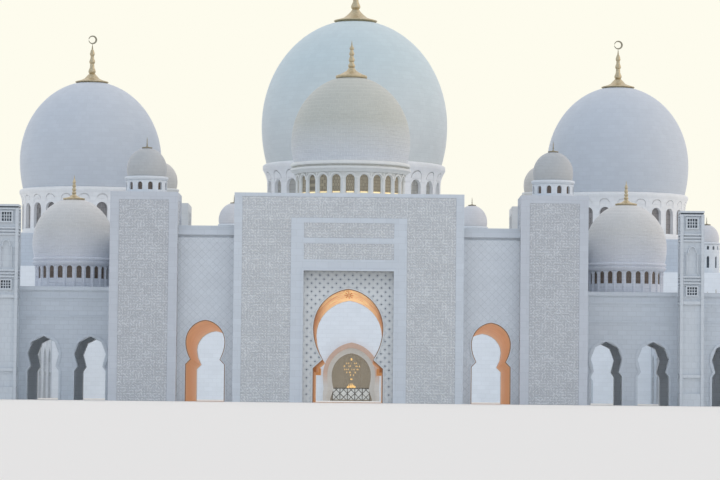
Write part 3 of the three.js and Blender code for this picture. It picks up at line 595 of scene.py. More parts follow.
KEYHOLE = {"half": 2.5, "point": 0.3, "spring": 7.46, "lower": 4.19, "cusp": 5.3, "jamb": 4.65, "foot": 2.5}
KEYHOLE_X = 17.95
CURTAIN_FRONT = 2.0
CURTAIN_BACK = 3.2
REAR_FACE = 29.9
PORTAL_FALL = 0.042
KEYHOLE_FALL = 0.084
VAULT_STEPS = 6
portal_plaster = lamp_lit_plaster("portal_plaster", "#8C5832", "#FFDDA6", 10.9, 14.0, 0.52)
keyhole_plaster = lamp_lit_plaster("keyhole_plaster", "#B8916F", "#C79F7D", 5.0, 10.5, 0.43)
keyhole_line = arch_line(KEYHOLE, KEYHOLE_X, steps=20)
passage = bmesh.new()
plate(passage, round_arch(portal_line, -5.4, 5.4, 15.3), WALL_BACK, REAR_FACE, VAULT_STEPS, PORTAL_FALL)
blocks(passage, 3.72, 4.6, REAR_FACE - 4, REAR_FACE - 0.05, 3.6, 4.5)
blocks(passage, 4.0, 4.6, WALL_BACK + 0.05, REAR_FACE - 4.1, 3.9, 4.45)
set_piece("portal_passage", passage, portal_plaster, "lit_soffit", "portal_vault", soften=30)

STAR_MIDDLE = 14.0
STAR_STRETCH = 14.0
STAR_HANG = 0.12
crown = max(z for x, z in portal_line)
fall = crown * PORTAL_FALL / (REAR_FACE - WALL_BACK)
laid = Matrix(((1, 0, 0, 0), (0, 0, STAR_STRETCH, FRONT + STAR_MIDDLE * M), (0, 1, -fall * STAR_STRETCH, 0),
               (0, 0, 0, 1)))
laid.translation.z = (crown - fall * (STAR_MIDDLE - WALL_BACK) - STAR_HANG) * M - FRONT
star = bmesh.new()
rosette(star, 0, 0, 8, 0.36, 0.56, 0.12, 0.09)
medallion = bmesh.new()
stud(medallion, Matrix.Translation((0, FRONT + 0.1 * M, 0)) @ FACING_FRONT, 24, 0.68, 0.68, 0.22)
for shape in (star, medallion):
    bmesh.ops.transform(shape, matrix=laid, verts=shape.verts)
    bmesh.ops.reverse_faces(shape, faces=shape.faces)
star_plaster = lamp_lit_plaster("star_plaster", "#A06C3E", "#C68E52", 12, 15, 0.4)
set_piece("portal_star_relief", star, star_plaster, "lit_soffit")
set_piece("portal_star_medallion", medallion, portal_plaster, "lit_soffit")

passage = bmesh.new()
plate(passage, round_arch(keyhole_line, KEYHOLE_X - 3.3, KEYHOLE_X + 3.3, 11.1), CURTAIN_BACK, REAR_FACE,
      VAULT_STEPS, KEYHOLE_FALL)
set_pair("keyhole_passage", passage, keyhole_plaster, "lit_soffit", "keyhole_vault", soften=30)
# Painted shadow: a brown marble band along each arch's edge, where the marble facing meets the plaster vault.
gap_shade_stone = cladding("edge_gap_shade_marble", "#9A7558", 1, 1, tint=0.05, shade=0.9, roughness=0.4)
for name, line, front, put in (("portal", portal_line, RECESS_BACK + 0.03, set_piece),
                               ("keyhole", keyhole_line, CURTAIN_FRONT + 0.28, set_pair)):
    gap_shade = bmesh.new()
    band_between(gap_shade, beside(line, -0.1), beside(line, 0.03), front, front + 0.27)
    put(name + "_edge_gap_shade", gap_shade, gap_shade_stone, "marble")


# Curtain walls. Lower walls between the portal and the towers, set back two metres. A diagonal
# strap lattice is carved over each, under a plain cornice with a deep shadow gap below it.
CURTAIN_TOP = 22.1
CORNICE_FOOT = 20.95
CURTAIN_PANEL_TOP = 20.6
TOWER_X = 21.5
PANEL_FACE = CURTAIN_FRONT + 0.25
PANEL_BED = PANEL_FACE + SUNK
GAP_BACK = CURTAIN_FRONT + 0.55
curtain = bmesh.new()
plate(curtain, round_arch(keyhole_line, NAVE_HALF, TOWER_X, CURTAIN_PANEL_TOP), PANEL_FACE, CURTAIN_BACK)
block(curtain, NAVE_HALF, TOWER_X, GAP_BACK, CURTAIN_BACK, CURTAIN_PANEL_TOP, CURTAIN_TOP)
inlay_lines = bmesh.new()
keyhole_gap = [(KEYHOLE_X - 2.7, -1), *beside(keyhole_line, 0.18), (KEYHOLE_X + 2.7, -1)]
for shape, width, rise in ((curtain, 0.3, 0.05), (inlay_lines, 0.06, 0.07)):
    strap_lattice(shape, NAVE_HALF, TOWER_X, 0.15, CURTAIN_PANEL_TOP, 0.95, width, PANEL_FACE - rise,
                  PANEL_BED, keyhole_gap)
moulding(curtain, keyhole_line, 0.16, PANEL_FACE - 0.14, PANEL_BED)
set_pair("curtain", curtain, cladding("curtain_marble", "#DFE4E9", 0.95, 0.95), "marble", "curtain_wall")
line_stone = cladding("line_inlay", "#D2D8DD", 1, 1, tint=0.05, shade=0.9, roughness=0.4)
set_pair("curtain_inlay_lines", inlay_lines, line_stone, "marble")
cornice = bmesh.new()
block(cornice, NAVE_HALF, TOWER_X, CURTAIN_FRONT, GAP_BACK, CORNICE_FOOT, CURTAIN_TOP)
block(cornice, NAVE_HALF, TOWER_X, CURTAIN_FRONT - PROUD, CURTAIN_FRONT + SUNK, CURTAIN_TOP - 0.2,
      CURTAIN_TOP)
set_pair("curtain_cornice", cornice, smooth_marble, "marble")


# Towers. Square towers stand at the block's four corners. Each side is a carved marble panel within smooth
# quoins, under a small onion dome on a windowed drum. The rear pair stands in the courtyard's floodlights,
# and that light is painted into its marble: lighter, warmer colours that glow faintly.
def everything(shape):
    """All of a shape's points, edges and faces."""
    return shape.verts[:] + shape.edges[:] + shape.faces[:]


def copies_round(shape, x, y, count):
    """Repeats a shape round an upright axis until there are count of it."""
    bmesh.ops.spin(shape, geom=everything(shape), cent=(x * M, FRONT + y * M, 0), axis=(0, 0, 1),
                   angle=2 * math.pi * (count - 1) / count, steps=count - 1, use_duplicate=True)


def turned(x, y, profile, steps=96):
    """Turns a profile of radii and heights round an upright axis."""
    shape = bmesh.new()
    line = line_up(shape, [(x + r, z) for r, z in profile], y)
    rim = [shape.edges.new(pair) for pair in zip(line, line[1:])]
    bmesh.ops.spin(shape, geom=line + rim, cent=(x * M, FRONT + y * M, 0), axis=(0, 0, 1), angle=2 * math.pi,
                   steps=steps, use_merge=True)
    bmesh.ops.remove_doubles(shape, verts=shape.verts, dist=1e-5)
    bmesh.ops.recalc_face_normals(shape, faces=shape.faces)
    return shape


def ring(x, y, radius, width, low, high, steps=96):
    """A plain square ring inside a radius."""
    inner = radius - width
    return turned(x, y, [(inner, low), (radius, low), (radius, high), (inner, high), (inner, low)], steps)


def round_head(half, spring, crown, steps):
    """The round head of a window or arch, from left to right."""
    turns = [math.pi * i / steps for i in range(steps + 1)]
    return [(-half * math.cos(turn), spring + (crown - spring) * math.sin(turn)) for turn in turns]


def window_bay(width, foot, top, window, y0, y1):
    """A bay of wall from its foot to its top with a round-headed window, as two halves."""
    half, sill, shoulder, crown = window
    head = round_head(half, shoulder, crown, 16)[:8]
    left = [(-width / 2, foot), (0, foot), (0, sill), (-half, sill), *head, (0, crown), (0, top),
            (-width / 2, top)]
    bay = bmesh.new()
    plate(bay, left, y0, y1)
    plate(bay, [(-x, z) for x, z in left], y0, y1)
    return bay


def bend_round(shape, x, y, radius, count, turn=0.0):
    """Bends one bay round a drum of so many bays and repeats it all the way round."""
    width = 2 * math.pi * radius / count
    for i in range(1, 6):
        bmesh.ops.bisect_plane(shape, geom=everything(shape), plane_co=((i / 6 - 0.5) * width * M, 0, 0),
                               plane_no=(1, 0, 0))
    for vert in shape.verts:
        angle = vert.co.x / M / radius + turn
        reach = radius * M - (vert.co.y - FRONT)
        vert.co.x = x * M + reach * math.sin(angle)
        vert.co.y = FRONT + y * M - reach * math.cos(angle)
    copies_round(shape, x, y, count)


def dome_profile(dome, lower=8, upper=26):
    """A bulbous dome from its base out to its widest circle and up to its crown."""
    drop = dome["widest"] - dome["base"]
    climb = dome["crown"] - dome["widest"]
    profile = [(0, dome["base"])]
    for i in range(lower):
        share = 1 - i / lower
        swell = (dome["radius"] - dome["base_radius"]) * share ** 2
        profile.append((dome["radius"] - swell, dome["widest"] - drop * share))
    for i in range(upper):
        angle = math.pi / 2 * i / upper
        profile.append((dome["radius"] * math.cos(angle), dome["widest"] + climb * math.sin(angle)))
    return [*profile, (0, dome["crown"])]


def seat_height(dome, plate_radius):
    """How high a finial's plate rests on a dome."""
    climb = dome["crown"] - dome["widest"]
    return dome["widest"] + climb * math.sqrt(1 - (plate_radius / dome["radius"]) ** 2)


def small_finial(x, y, seat):
    """A turned plate with a thin spike."""
    profile = [(0, -0.1), (0.6, 0), (0.68, 0.06), (0.68, 0.13), (0.45, 0.18), (0.2, 0.22), (0.08, 0.3),
               (0.06, 0.5), (0.11, 0.56), (0.06, 0.62), (0.05, 1.1), (0, 1.5)]
    return turned(x, y, [(r, seat + z) for r, z in profile], 16)


def small_dome(x, y, dome, windows):
    """A drum with rows of round-headed windows, the small dome on it, its panes and its finial."""
    radius, base = dome["drum_radius"], dome["base"]
    stone = bmesh.new()
    for count, (foot, top, window) in zip(dome["windows"], windows):
        bay = window_bay(2 * math.pi * radius / count, foot, top, window, 0, 0.3)
        bend_round(bay, x, y, radius, count, dome["turn"] * math.pi / count)
        join(stone, bay)
    foot, flare, lip = windows[0][0], windows[-1][1], dome["cornice_radius"]
    cornice = [(radius - 0.3, flare - 0.1), (radius + 0.04, flare - 0.1), (radius + 0.04, flare - 0.02),
               (radius - 0.12, flare), (radius - 0.12, flare + 0.09), (radius + 0.02, flare + 0.1),
               (lip - 0.06, base - 0.3), (lip, base - 0.26), (lip, base - 0.08), (lip - 0.1, base),
               (radius - 0.3, base), (radius - 0.3, flare - 0.1)]
    join(stone, ring(x, y, radius + 0.12, 0.3, foot, foot + 0.22, 48), turned(x, y, cornice, 48))
    return (stone, turned(x, y, dome_profile(dome, 5, 14), 48),
            ring(x, y, radius - 0.25, 0.08, foot + 0.1, flare - 0.1, 48),
            small_finial(x, y, seat_height(dome, 0.6)))


def metal(name, colour, roughness):
    """Gilded copper, hammered and a little weathered: soft reflections, darker in the hollows."""
    finish, surface = new_finish(name, roughness)
    tree = finish.node_tree
    place = add_node(tree, "ShaderNodeTexCoord").outputs["Object"]
    worn = noise(tree, place, 3.0, 4.0)
    tone = times(tree, linear(colour)[:3], spread(tree, worn, 0.3, 0.7, 0.82, 1.1))
    feed(surface, {"Base Color": tone, "Normal": bump(tree, worn, 0.25, 0.02), "Metallic": 1.0})
    return finish


def window_glass(name, colour, course, glow=0.0):
    """Patterned window glass behind a fine grille: dark, half glossy, with level bars."""
    return cladding(name, colour, course * 0.6, course, joint=0.05, tint=0.12, shade=0.55, roughness=0.25,
                    glow=glow)


def small_dome_marble(name, stone, glow=0.0, slab=0.6, course=0.4):
    """Small slabs for small domes and their drums."""
    return cladding(name, stone, slab, course, joint=0.05, shade=0.94, glow=glow)


# Painted shade: a darker, duller copy of the gilding, for the small finials and the crescents.
shaded_gilding = metal("shaded_gilded_copper", "#A9A18C", 0.55)
brown_glass = window_glass("brown_window_glass", "#6E6055", 0.5)
TOWER_WIDE = 8.46
TOWER_DEEP = 8.5
TOWER_TOP = 26.2
TOWER_PANEL_TOP = TOWER_TOP - 1.0
TOWER_END = TOWER_X + TOWER_WIDE
TOWER_STEP = 23.0
QUOIN = 1.1
TOWER_DOME = {"drum_radius": 2.6, "cornice_radius": 2.76, "base": 28.3, "base_radius": 2.4, "widest": 29.3,
              "radius": 2.53, "crown": 32.0, "windows": (12,), "turn": 1}
tower_middle = (TOWER_X + TOWER_WIDE / 2, TOWER_DEEP / 2)
tower_carving = carve(TOWER_X + QUOIN, TOWER_END - QUOIN, 0, TOWER_PANEL_TOP, PROUD, 11)
copies_round(tower_carving, *tower_middle, 4)
tower_panels = bmesh.new()
block(tower_panels, TOWER_X + PROUD, TOWER_END - PROUD, PROUD, TOWER_DEEP - PROUD, 0, TOWER_PANEL_TOP)
quoins = bmesh.new()
for corner_x in (TOWER_X, TOWER_END - QUOIN):
    for corner_y in (0, TOWER_DEEP - QUOIN):
        block(quoins, corner_x, corner_x + QUOIN, corner_y, corner_y + QUOIN, 0, TOWER_PANEL_TOP)
block(quoins, TOWER_X, TOWER_END, 0, TOWER_DEEP, TOWER_PANEL_TOP, TOWER_TOP)
tower_drum, tower_dome, tower_panes, tower_finial = small_dome(
    *tower_middle, TOWER_DOME, [(TOWER_TOP, 27.75, (0.31, 26.6, 27.25, 27.58))])
drum_stone = small_dome_marble("small_drum_marble", "#E0E5E9", slab=0.7, course=0.5)
dome_stone = small_dome_marble("small_dome_marble", "#BBBDBD")
lit_quoin = honed_marble("floodlit_quoin_marble", "#DEDEDB", glow=0.05)
for place, step, (hollow, raised), quoin, drum_finish, dome_finish in (
        ("front", 0.0, carved_marble("tower_", "#BEC1C5", "#D3D6D9"),
         honed_marble("tower_quoin_marble", "#CACFD6"), drum_stone, dome_stone),
        ("rear", TOWER_STEP, carved_marble("floodlit_", "#CACAC8", "#DADAD7", glow=0.04),
         lit_quoin, lit_quoin, small_dome_marble("floodlit_dome_marble", "#CDCAC4", glow=0.05))):
    for part, shape, finish, slot, stands_for, soften in (
            ("panels", tower_panels, hollow, "marble", (place + "_tower",), None),
            ("carving", tower_carving, raised, "marble", (), None),
            ("quoins", quoins, quoin, "marble", (), None),
            ("drum", tower_drum, drum_finish, "marble", (), 35),
            ("dome", tower_dome, dome_finish, "marble", (), 35),
            ("panes", tower_panes, brown_glass, "glazing", (), 35),
            ("finial", tower_finial, shaded_gilding, "gilding", (), 40)):
        moved = shape.copy()
        bmesh.ops.translate(moved, vec=(0, step * M, 0), verts=moved.verts)
        set_pair(place + "_tower_" + part, moved, finish, slot, *stands_for, soften=soften)


# Entrance dome. Its drum stands on the portal block's roof: a ring of engaged columns with round
# arches over brown windows, gold light strips at their sills, and a heavy moulded cornice.
# How wide a bulb is at shares of its height.
BULB = ((0, 0.7), (0.1, 0.85), (0.24, 0.97), (0.38, 1), (0.6, 0.9), (0.8, 0.74), (1, 0.62))


def gilt_finial(x, y, dome, foot, bulbs, tip):
    """A broad plate with a lip and a hollow bell, and on it bulbs with necks and a spike.

    Foot is the profile of the plate and bell, each bulb is its foot, its top and its radius."""
    profile = list(foot)
    for low, high, width in bulbs:
        for share, bulge in BULB:
            profile.append((width * bulge, low + (high - low) * share))
    profile += [(profile[-1][0] * 0.6, bulbs[-1][1] + 0.1), (0, tip)]
    seat = seat_height(dome, max(r for r, z in foot))
    return turned(x, y, [(r, seat + z) for r, z in profile], 32)


DRUM_BAYS = 24


def colonnade(x, y, radius, foot, top, window, column):
    """A drum wall with a window in each bay, engaged columns between them and arches over them."""
    width = 2 * math.pi * radius / DRUM_BAYS
    half, _, shoulder, crown = window
    bay = window_bay(width, foot, top, window, column, column + 0.35)
    band_between(bay, round_head(half + 0.1, shoulder, crown + 0.1, 14),
                 round_head(width / 2 - 0.06, shoulder, crown + 0.32, 14), column * 0.35, column + 0.05)
    blocks(bay, width / 2, width / 2 - column * 0.35, column * 0.5, column + 0.05, foot, top)
    bend_round(bay, x, y, radius, DRUM_BAYS)
    turn = math.pi / DRUM_BAYS
    reach = radius - column
    spot = Vector(((x + reach * math.sin(turn)) * M, FRONT + (y - reach * math.cos(turn)) * M, 0))
    posts = bmesh.new()
    for low, high, below, above in ((foot, shoulder, 0.8, 0.72),
                                    (shoulder - 0.06, shoulder + 0.2, 0.75, 1.15)):
        middle = Matrix.Translation(spot + Vector((0, 0, (low + high) / 2 * M)))
        stud(posts, middle, 12, column * below, column * above, high - low)
    copies_round(posts, x, y, DRUM_BAYS)
    return join(bay, posts)


ENTRANCE = {"radius": 7.88, "base": 31.55, "base_radius": 7.5, "widest": 34.3, "crown": 43.15}
ENTRANCE_Y = 22.0
ENTRANCE_DRUM = 7.35
ENTRANCE_CORNICE = [
    (6.7, 30.05), (7.42, 30.05), (7.5, 30.2), (7.86, 30.42), (7.98, 30.5), (7.98, 30.7), (7.85, 30.77),
    (7.25, 30.8), (7.25, 31.0), (7.85, 31.04), (7.94, 31.14), (7.94, 31.32), (7.8, 31.45), (7.55, 31.55),
    (6.7, 31.55), (6.7, 30.05)]
ENTRANCE_FINIAL = [(0, -0.1), (1.8, -0.02), (2.05, 0.1), (2.09, 0.15), (2.09, 0.38), (1.95, 0.46), (1.5, 0.6),
                   (1.02, 0.87), (0.63, 1.1), (0.45, 1.4), (0.4, 1.5)]
# Painted light: the entrance dome turns lighter and bluer towards its foot.
warm_dome = cladding("warm_dome_marble", "#C6C7BD", 0.8, 0.5, joint=0.12, shade=1.11,
                     centre=(0, ENTRANCE_Y, ENTRANCE["radius"]), low=("#DCDFE2", 32.0, 37.0), groove=1.0)
warm_drum = cladding("warm_drum_marble", "#EEEEE9", 0.96, 0.9, joint=0.04, shade=0.94,
                     centre=(0, ENTRANCE_Y, ENTRANCE_DRUM))
drum = colonnade(0, ENTRANCE_Y, ENTRANCE_DRUM, 25.8, 30.15, (0.6, 27.3, 29.1, 29.7), 0.28)
join(drum, ring(0, ENTRANCE_Y, ENTRANCE_DRUM + 0.05, 0.5, 25.8, 26.3),
     turned(0, ENTRANCE_Y, ENTRANCE_CORNICE))
set_piece("entrance_drum_ring", drum, warm_drum, "warm_marble", "entrance_drum", soften=35)
# Painted light: the amber glass glows faintly, as if lit from within.
set_piece("entrance_drum_glass", ring(0, ENTRANCE_Y, ENTRANCE_DRUM - 0.42, 0.1, 26.9, 30.0),
          window_glass("amber_window_glass", "#A1967F", 0.42, glow=0.1), "glazing", soften=35)
strips = bmesh.new()
block(strips, -0.5, 0.5, 0.34, 0.42, 27.32, 27.47)
bend_round(strips, 0, ENTRANCE_Y, ENTRANCE_DRUM, DRUM_BAYS)
light_strip = lamp_lit_plaster("window_light_strip", "#E8C98C", "#F6E2B0", 26.0, 27.0, 0.7)
set_piece("entrance_light_strips", strips, light_strip, "warm_marble")
set_piece("entrance_dome_shell", turned(0, ENTRANCE_Y, dome_profile(ENTRANCE)), warm_dome, "warm_marble",
          "entrance_dome", soften=35)
gilding = metal("gilded_copper", "#D1C2A2", 0.5)
finial = gilt_finial(0, ENTRANCE_Y, ENTRANCE, ENTRANCE_FINIAL,
                     [(1.5, 2.15, 0.47), (2.25, 3.0, 0.4), (3.1, 3.75, 0.34), (3.9, 4.3, 0.31)], 5.2)
set_piece("entrance_gilt_finial", finial, gilding, "gilding", "entrance_finial", soften=40)


# Wings. Low walls with keyhole bays run out beside the towers under a plain cornice, and a warm
# marble dome on a ring of short columns stands over each.
def arch_mouldings(shape, centres, y, reach):
    """A raised moulding round each of a row of arcade arches."""
    for centre in centres:
        moulding(shape, arch_line(ARCADE, centre, steps=12), 0.3, y - reach, y + SUNK)


def face_with(finish, *nodes):
    """Gives CAD nodes whose shape is right their finish."""
    for node in nodes:
        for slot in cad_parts[node].material_slots:
            slot.material = finish


ARCADE = {"half": 2.0, "point": 0.25, "spring": 5.9, "lower": 3.3, "cusp": 4.3, "jamb": 3.7, "foot": 2.0}
WING = {"radius": 5.3, "base": 18.45, "base_radius": 5.05, "widest": 20.4, "crown": 26.2}
WING_PLACE = (36.0, 16.0)
WING_DRUM = 4.95
WING_CORNICE = [(4.4, 17.4), (5.0, 17.4), (5.08, 17.5), (5.2, 17.6), (5.25, 17.7), (5.25, 17.84), (5.1, 17.9),
                (5.06, 18.0), (5.2, 18.06), (5.25, 18.15), (5.25, 18.27), (5.12, 18.4), (5.05, 18.45),
                (4.4, 18.45), (4.4, 17.4)]
WING_FINIAL = [(0, -0.1), (1.25, -0.02), (1.4, 0.08), (1.43, 0.12), (1.43, 0.24), (1.0, 0.34), (0.6, 0.46),
               (0.36, 0.62), (0.22, 0.82)]
WING_FRONT = 9.0
WING_TOP = 14.5
WING_START = 29.56
WING_END = 62.05
drum = colonnade(*WING_PLACE, WING_DRUM, 13.9, 17.5, (0.36, 15.7, 16.95, 17.3), 0.2)
join(drum, turned(*WING_PLACE, WING_CORNICE), turned(*WING_PLACE, dome_profile(WING)))
# Painted light: the wing domes turn lighter and bluer towards the foot.
wing_stone = cladding("wing_dome_marble", "#D6D5D2", 0.9, 0.43, joint=0.1, tint=0.015, shade=1.1,
                      centre=(*WING_PLACE, WING["radius"]), low=("#E0E3EA", 18.5, 22.5), groove=1.0)
set_pair("wing_dome_shell", drum, wing_stone, "warm_marble", "wing_dome", soften=35)
set_pair("wing_drum_glass", ring(*WING_PLACE, WING_DRUM - 0.3, 0.1, 15.3, 17.45), brown_glass, "glazing",
         soften=35)
finial = gilt_finial(*WING_PLACE, WING, WING_FINIAL,
                     [(0.85, 1.2, 0.3), (1.25, 1.65, 0.28), (1.7, 2.15, 0.25), (2.2, 2.65, 0.22)], 3.36)
set_pair("wing_finial", finial, gilding, "gilding", soften=40)
trim = bmesh.new()
arch_mouldings(trim, (33, 39, 48.5, 54.5), WING_FRONT, 0.12)
block(trim, WING_START, WING_END + 0.05, WING_FRONT - 0.2, WING_FRONT + SUNK, WING_TOP - 0.5, WING_TOP)
block(trim, WING_START, WING_END, WING_FRONT - 0.1, WING_FRONT + SUNK, WING_TOP - 1.5, WING_TOP - 1.25)
block(trim, WING_START, WING_END, WING_FRONT - 0.08, WING_FRONT + SUNK, 10.6, 10.8)
set_pair("wing_trim", trim, smooth_marble, "marble")
plain_marble = cladding("plain_wall_marble", "#D1D8DF", 1.2, 0.6, tint=0.03, shade=0.9)
for side in ("left_", "right_"):
    face_with(plain_marble, *(side + node for node in (
        "nave_wall", "aisle_roof", "wing_front_wall", "wing_rear_wall", "wing_roof", "outer_arcade",
        "inner_arcade", "dome_base")))
face_with(plain_marble, "courtyard_wall", "nave_roof", "hall_outer_wall", "hall_roof", "middle_roof")


# Pylons. Slim light towers at the wings' fronts, in smooth marble with a dark cap line, a
# latticed lamp window near the top, level mouldings and a tall arched panel.
def upright_frame(half, low, high):
    """The outline of an upright opening in the pylon's face."""
    left, right = PYLON_X - half, PYLON_X + half
    return [(left, low), (left, high), (right, high), (right, low), (left, low)]


PYLON_X = 43.6
PYLON_HALF = 1.53
PYLON_FRONT = 5.94
PYLON_BACK = PYLON_FRONT + 2 * PYLON_HALF
PYLON_DEPTH = 0.34
PYLON_EDGE = 0.42
PYLON_WINDOW = 0.62
PYLON_ARCH = 0.44
ARCH_SPRING = 19.4
LAMP_WINDOWS = ((14.1, 15.1), (22.65, 23.8))
MOULDINGS = ((0, 1.6), (3.6, 4.0), (12.9, 13.3), (15.5, 15.7), (15.9, 16.1), (16.3, 16.5), (20.9, 21.1),
             (21.3, 21.5), (21.7, 21.9), (24.15, 24.35))
left, right = PYLON_X - PYLON_HALF, PYLON_X + PYLON_HALF
face = bmesh.new()
for x0, x1 in ((left, left + PYLON_EDGE), (right - PYLON_EDGE, right)):
    block(face, x0 + 0.02, x1 - 0.02, PYLON_FRONT, PYLON_FRONT + PYLON_DEPTH, 0, 24.35)
for low, high in MOULDINGS:
    block(face, left + PYLON_EDGE, right - PYLON_EDGE, PYLON_FRONT + 0.02, PYLON_FRONT + PYLON_DEPTH, low,
          high)
lamp_panes = bmesh.new()
for low, high in LAMP_WINDOWS:
    band_between(face, upright_frame(PYLON_WINDOW, low, high), upright_frame(0.8, low - 0.18, high + 0.18),
                 PYLON_FRONT, PYLON_FRONT + PYLON_DEPTH)
    for i in (1, 2):
        level = low + (high - low) * i / 3
        block(face, PYLON_X - 0.63, PYLON_X + 0.63, PYLON_FRONT + 0.14, PYLON_FRONT + 0.3, level - 0.05,
              level + 0.05)
    for i in (1, 2, 3):
        x = PYLON_X - PYLON_WINDOW + 2 * PYLON_WINDOW * i / 4
        block(face, x - 0.05, x + 0.05, PYLON_FRONT + 0.15, PYLON_FRONT + 0.3, low - 0.01, high + 0.01)
    block(lamp_panes, PYLON_X - 0.64, PYLON_X + 0.64, PYLON_FRONT + 0.25, PYLON_FRONT + 0.32, low, high)
turns = [math.pi * i / 8 for i in range(1, 8)]
head = [(-math.cos(turn) * PYLON_ARCH, 0.8 * math.sin(turn) ** 0.8) for turn in turns]
arched = [(-PYLON_WINDOW, 16.8 - ARCH_SPRING), (-PYLON_WINDOW, 0), (-PYLON_ARCH, 0), *head,
          (PYLON_ARCH, 0), (PYLON_WINDOW, 0), (PYLON_WINDOW, 16.8 - ARCH_SPRING)]
moulding(face, [(PYLON_X + x, ARCH_SPRING + z) for x, z in arched], 0.12, PYLON_FRONT,
         PYLON_FRONT + PYLON_DEPTH)
for shape in (face, lamp_panes):
    copies_round(shape, PYLON_X, PYLON_FRONT + PYLON_HALF, 4)
block(face, left + 0.3, right - 0.3, PYLON_FRONT + 0.3, PYLON_BACK - 0.3, 0, 24.4)
block(face, left, right, PYLON_FRONT, PYLON_BACK, 24.55, 24.8)
set_pair("pylon_stone", face, cladding("pylon_marble", "#D2D8DD", 0.8, 0.8, shade=0.93), "marble", "pylon")
dark = bmesh.new()
block(dark, left + 0.08, right - 0.08, PYLON_FRONT + 0.08, PYLON_BACK - 0.08, 24.4, 24.55)
slate_glass = window_glass("slate_window_glass", "#4B555F", 0.5)
set_pair("pylon_lamp_windows", join(dark, lamp_panes), slate_glass, "glazing")


# Ranges. Arcades on both sides of the courtyard under flat roofs, with a row of low domes. The
# arches have raised mouldings, and level mouldings run along the parapets.
def along_wall(bay, x, y, turn, count, step):
    """Turns a bay that faces the front by quarter turns, to a spot on a wall, and lays out a row."""
    bmesh.ops.translate(bay, vec=(0, -FRONT, 0), verts=bay.verts)
    place = Matrix.Translation((x * M, FRONT + y * M, 0)) @ Matrix.Rotation(turn * math.pi / 2, 4, "Z")
    bmesh.ops.transform(bay, matrix=place, verts=bay.verts)
    return repeat(bay, count, step)


RANGE_TOP = 12.0
RANGE_START = 22.5
HALL_FRONT = 130.0
BAY = 7.6
BAYS = 14
FIRST_BAY = RANGE_START + (HALL_FRONT - RANGE_START - BAYS * BAY) / 2 + BAY / 2
RANGE_DOME = {"radius": 3.9, "base": 11.7, "base_radius": 3.75, "widest": 12.4, "crown": 16.5}
RANGE_DOMES = 9
DOME_PITCH = 12.0
FIRST_DOME = (56.0, (RANGE_START + HALL_FRONT - (RANGE_DOMES - 1) * DOME_PITCH) / 2)
for node, face_x, turn in (("inner_arcade", 50.0, -1), ("outer_arcade", 62.0, 1)):
    bay = bmesh.new()
    arch_mouldings(bay, (0,), 0, 0.1)
    block(bay, -BAY / 2, BAY / 2, -0.12, SUNK, RANGE_TOP - 0.4, RANGE_TOP)
    block(bay, -BAY / 2, BAY / 2, -0.08, SUNK, RANGE_TOP - 1.3, RANGE_TOP - 1.1)
    blocks(bay, BAY / 2, BAY / 2 - 0.35, -0.1, SUNK, 0, RANGE_TOP - 1.3)
    bays = along_wall(bay, face_x, FIRST_BAY, turn, BAYS, (0, BAY, 0))
    set_pair(node + "_trim", bays, smooth_marble, "marble")
dome = join(turned(*FIRST_DOME, dome_profile(RANGE_DOME, 4, 14), 48),
            ring(*FIRST_DOME, 4.1, 0.6, 11.35, 11.8, 48))
domes = repeat(dome, RANGE_DOMES, (0, DOME_PITCH, 0))
block(domes, 51.2, 60.8, RANGE_START, HALL_FRONT, 10.8, 11.4)
set_pair("range_domes", domes, dome_stone, "marble", "range_roof", soften=35)
finials = repeat(small_finial(*FIRST_DOME, 16.42), RANGE_DOMES, (0, DOME_PITCH, 0))
set_pair("range_finials", finials, shaded_gilding, "gilding", soften=40)


# Prayer hall front. Floodlit white marble seen through the portal, with a stepped arch frame in
# pinkish stone round a screen of taupe glass with white lattice doors. Behind it a gold
# chandelier of lit drops in tiers hangs from the dome on a bronze rod, by thin bronze arms.
def between(share):
    """The arch line that lies a share of the way from the screen out to the frame's edge."""
    return [(xa + (xb - xa) * share, za + (zb - za) * share)
            for (xa, za), (xb, zb) in zip(inner_line, outer_line)]


HALL_ARCH = {"half": 3.3, "point": 0.4, "spring": 4.3, "lower": 8.4, "cusp": 1.95, "jamb": 0.3, "foot": 3.5}
HALL_FRAME = {"half": 4.7, "point": 0.76, "spring": 4.3, "lower": 30, "cusp": 1.9, "jamb": 1.2, "foot": 4.7}
inner_line = arch_line(HALL_ARCH, steps=24)
outer_line = arch_line(HALL_FRAME, steps=24)
# Painted light: the wall, the arch frame's stones and the doors glow faintly, as if floodlit.
face_with(cladding("floodlit_marble", "#E0E6EC", 1.4, 0.7, shade=0.94, glow=0.15), "hall_front_wall")
steps = bmesh.new()
for low, high, face_y in ((-0.02, 0.16, 129.93), (0.16, 0.3, 129.82), (0.3, 0.42, 129.65),
                          (0.42, 0.5, 129.45)):
    band_between(steps, between(low), between(high), face_y, HALL_FRONT + 0.3)
beige = cladding("beige_frame_stone", "#D8D3CB", 0.8, 0.8, glow=0.08)
set_piece("hall_arch_mouldings", steps, beige, "bright_marble", "hall_arch_frame", soften=30)
pink = cladding("pink_frame_stone", "#D0B19E", 0.8, 0.8, tint=0.03, shade=0.94, glow=0.08,
                low=("#D6D0C8", 2.6, 4.6))
outer_band = bmesh.new()
band_between(outer_band, between(0.5), outer_line, 129.2, HALL_FRONT + SUNK)
set_piece("hall_arch_outer_band", outer_band, pink, "bright_marble", soften=30)
# Painted light: the glass screen glows strongly, as if lit from the hall behind it.
taupe_glass = cladding("taupe_screen_glass", "#8F8574", 1.2, 1.6, joint=0.03, shade=0.85, roughness=0.2,
                       glow=0.62)
feed(taupe_glass.node_tree.nodes["Principled BSDF"], {"Alpha": 0.5})
face_with(taupe_glass, "glass_screen")

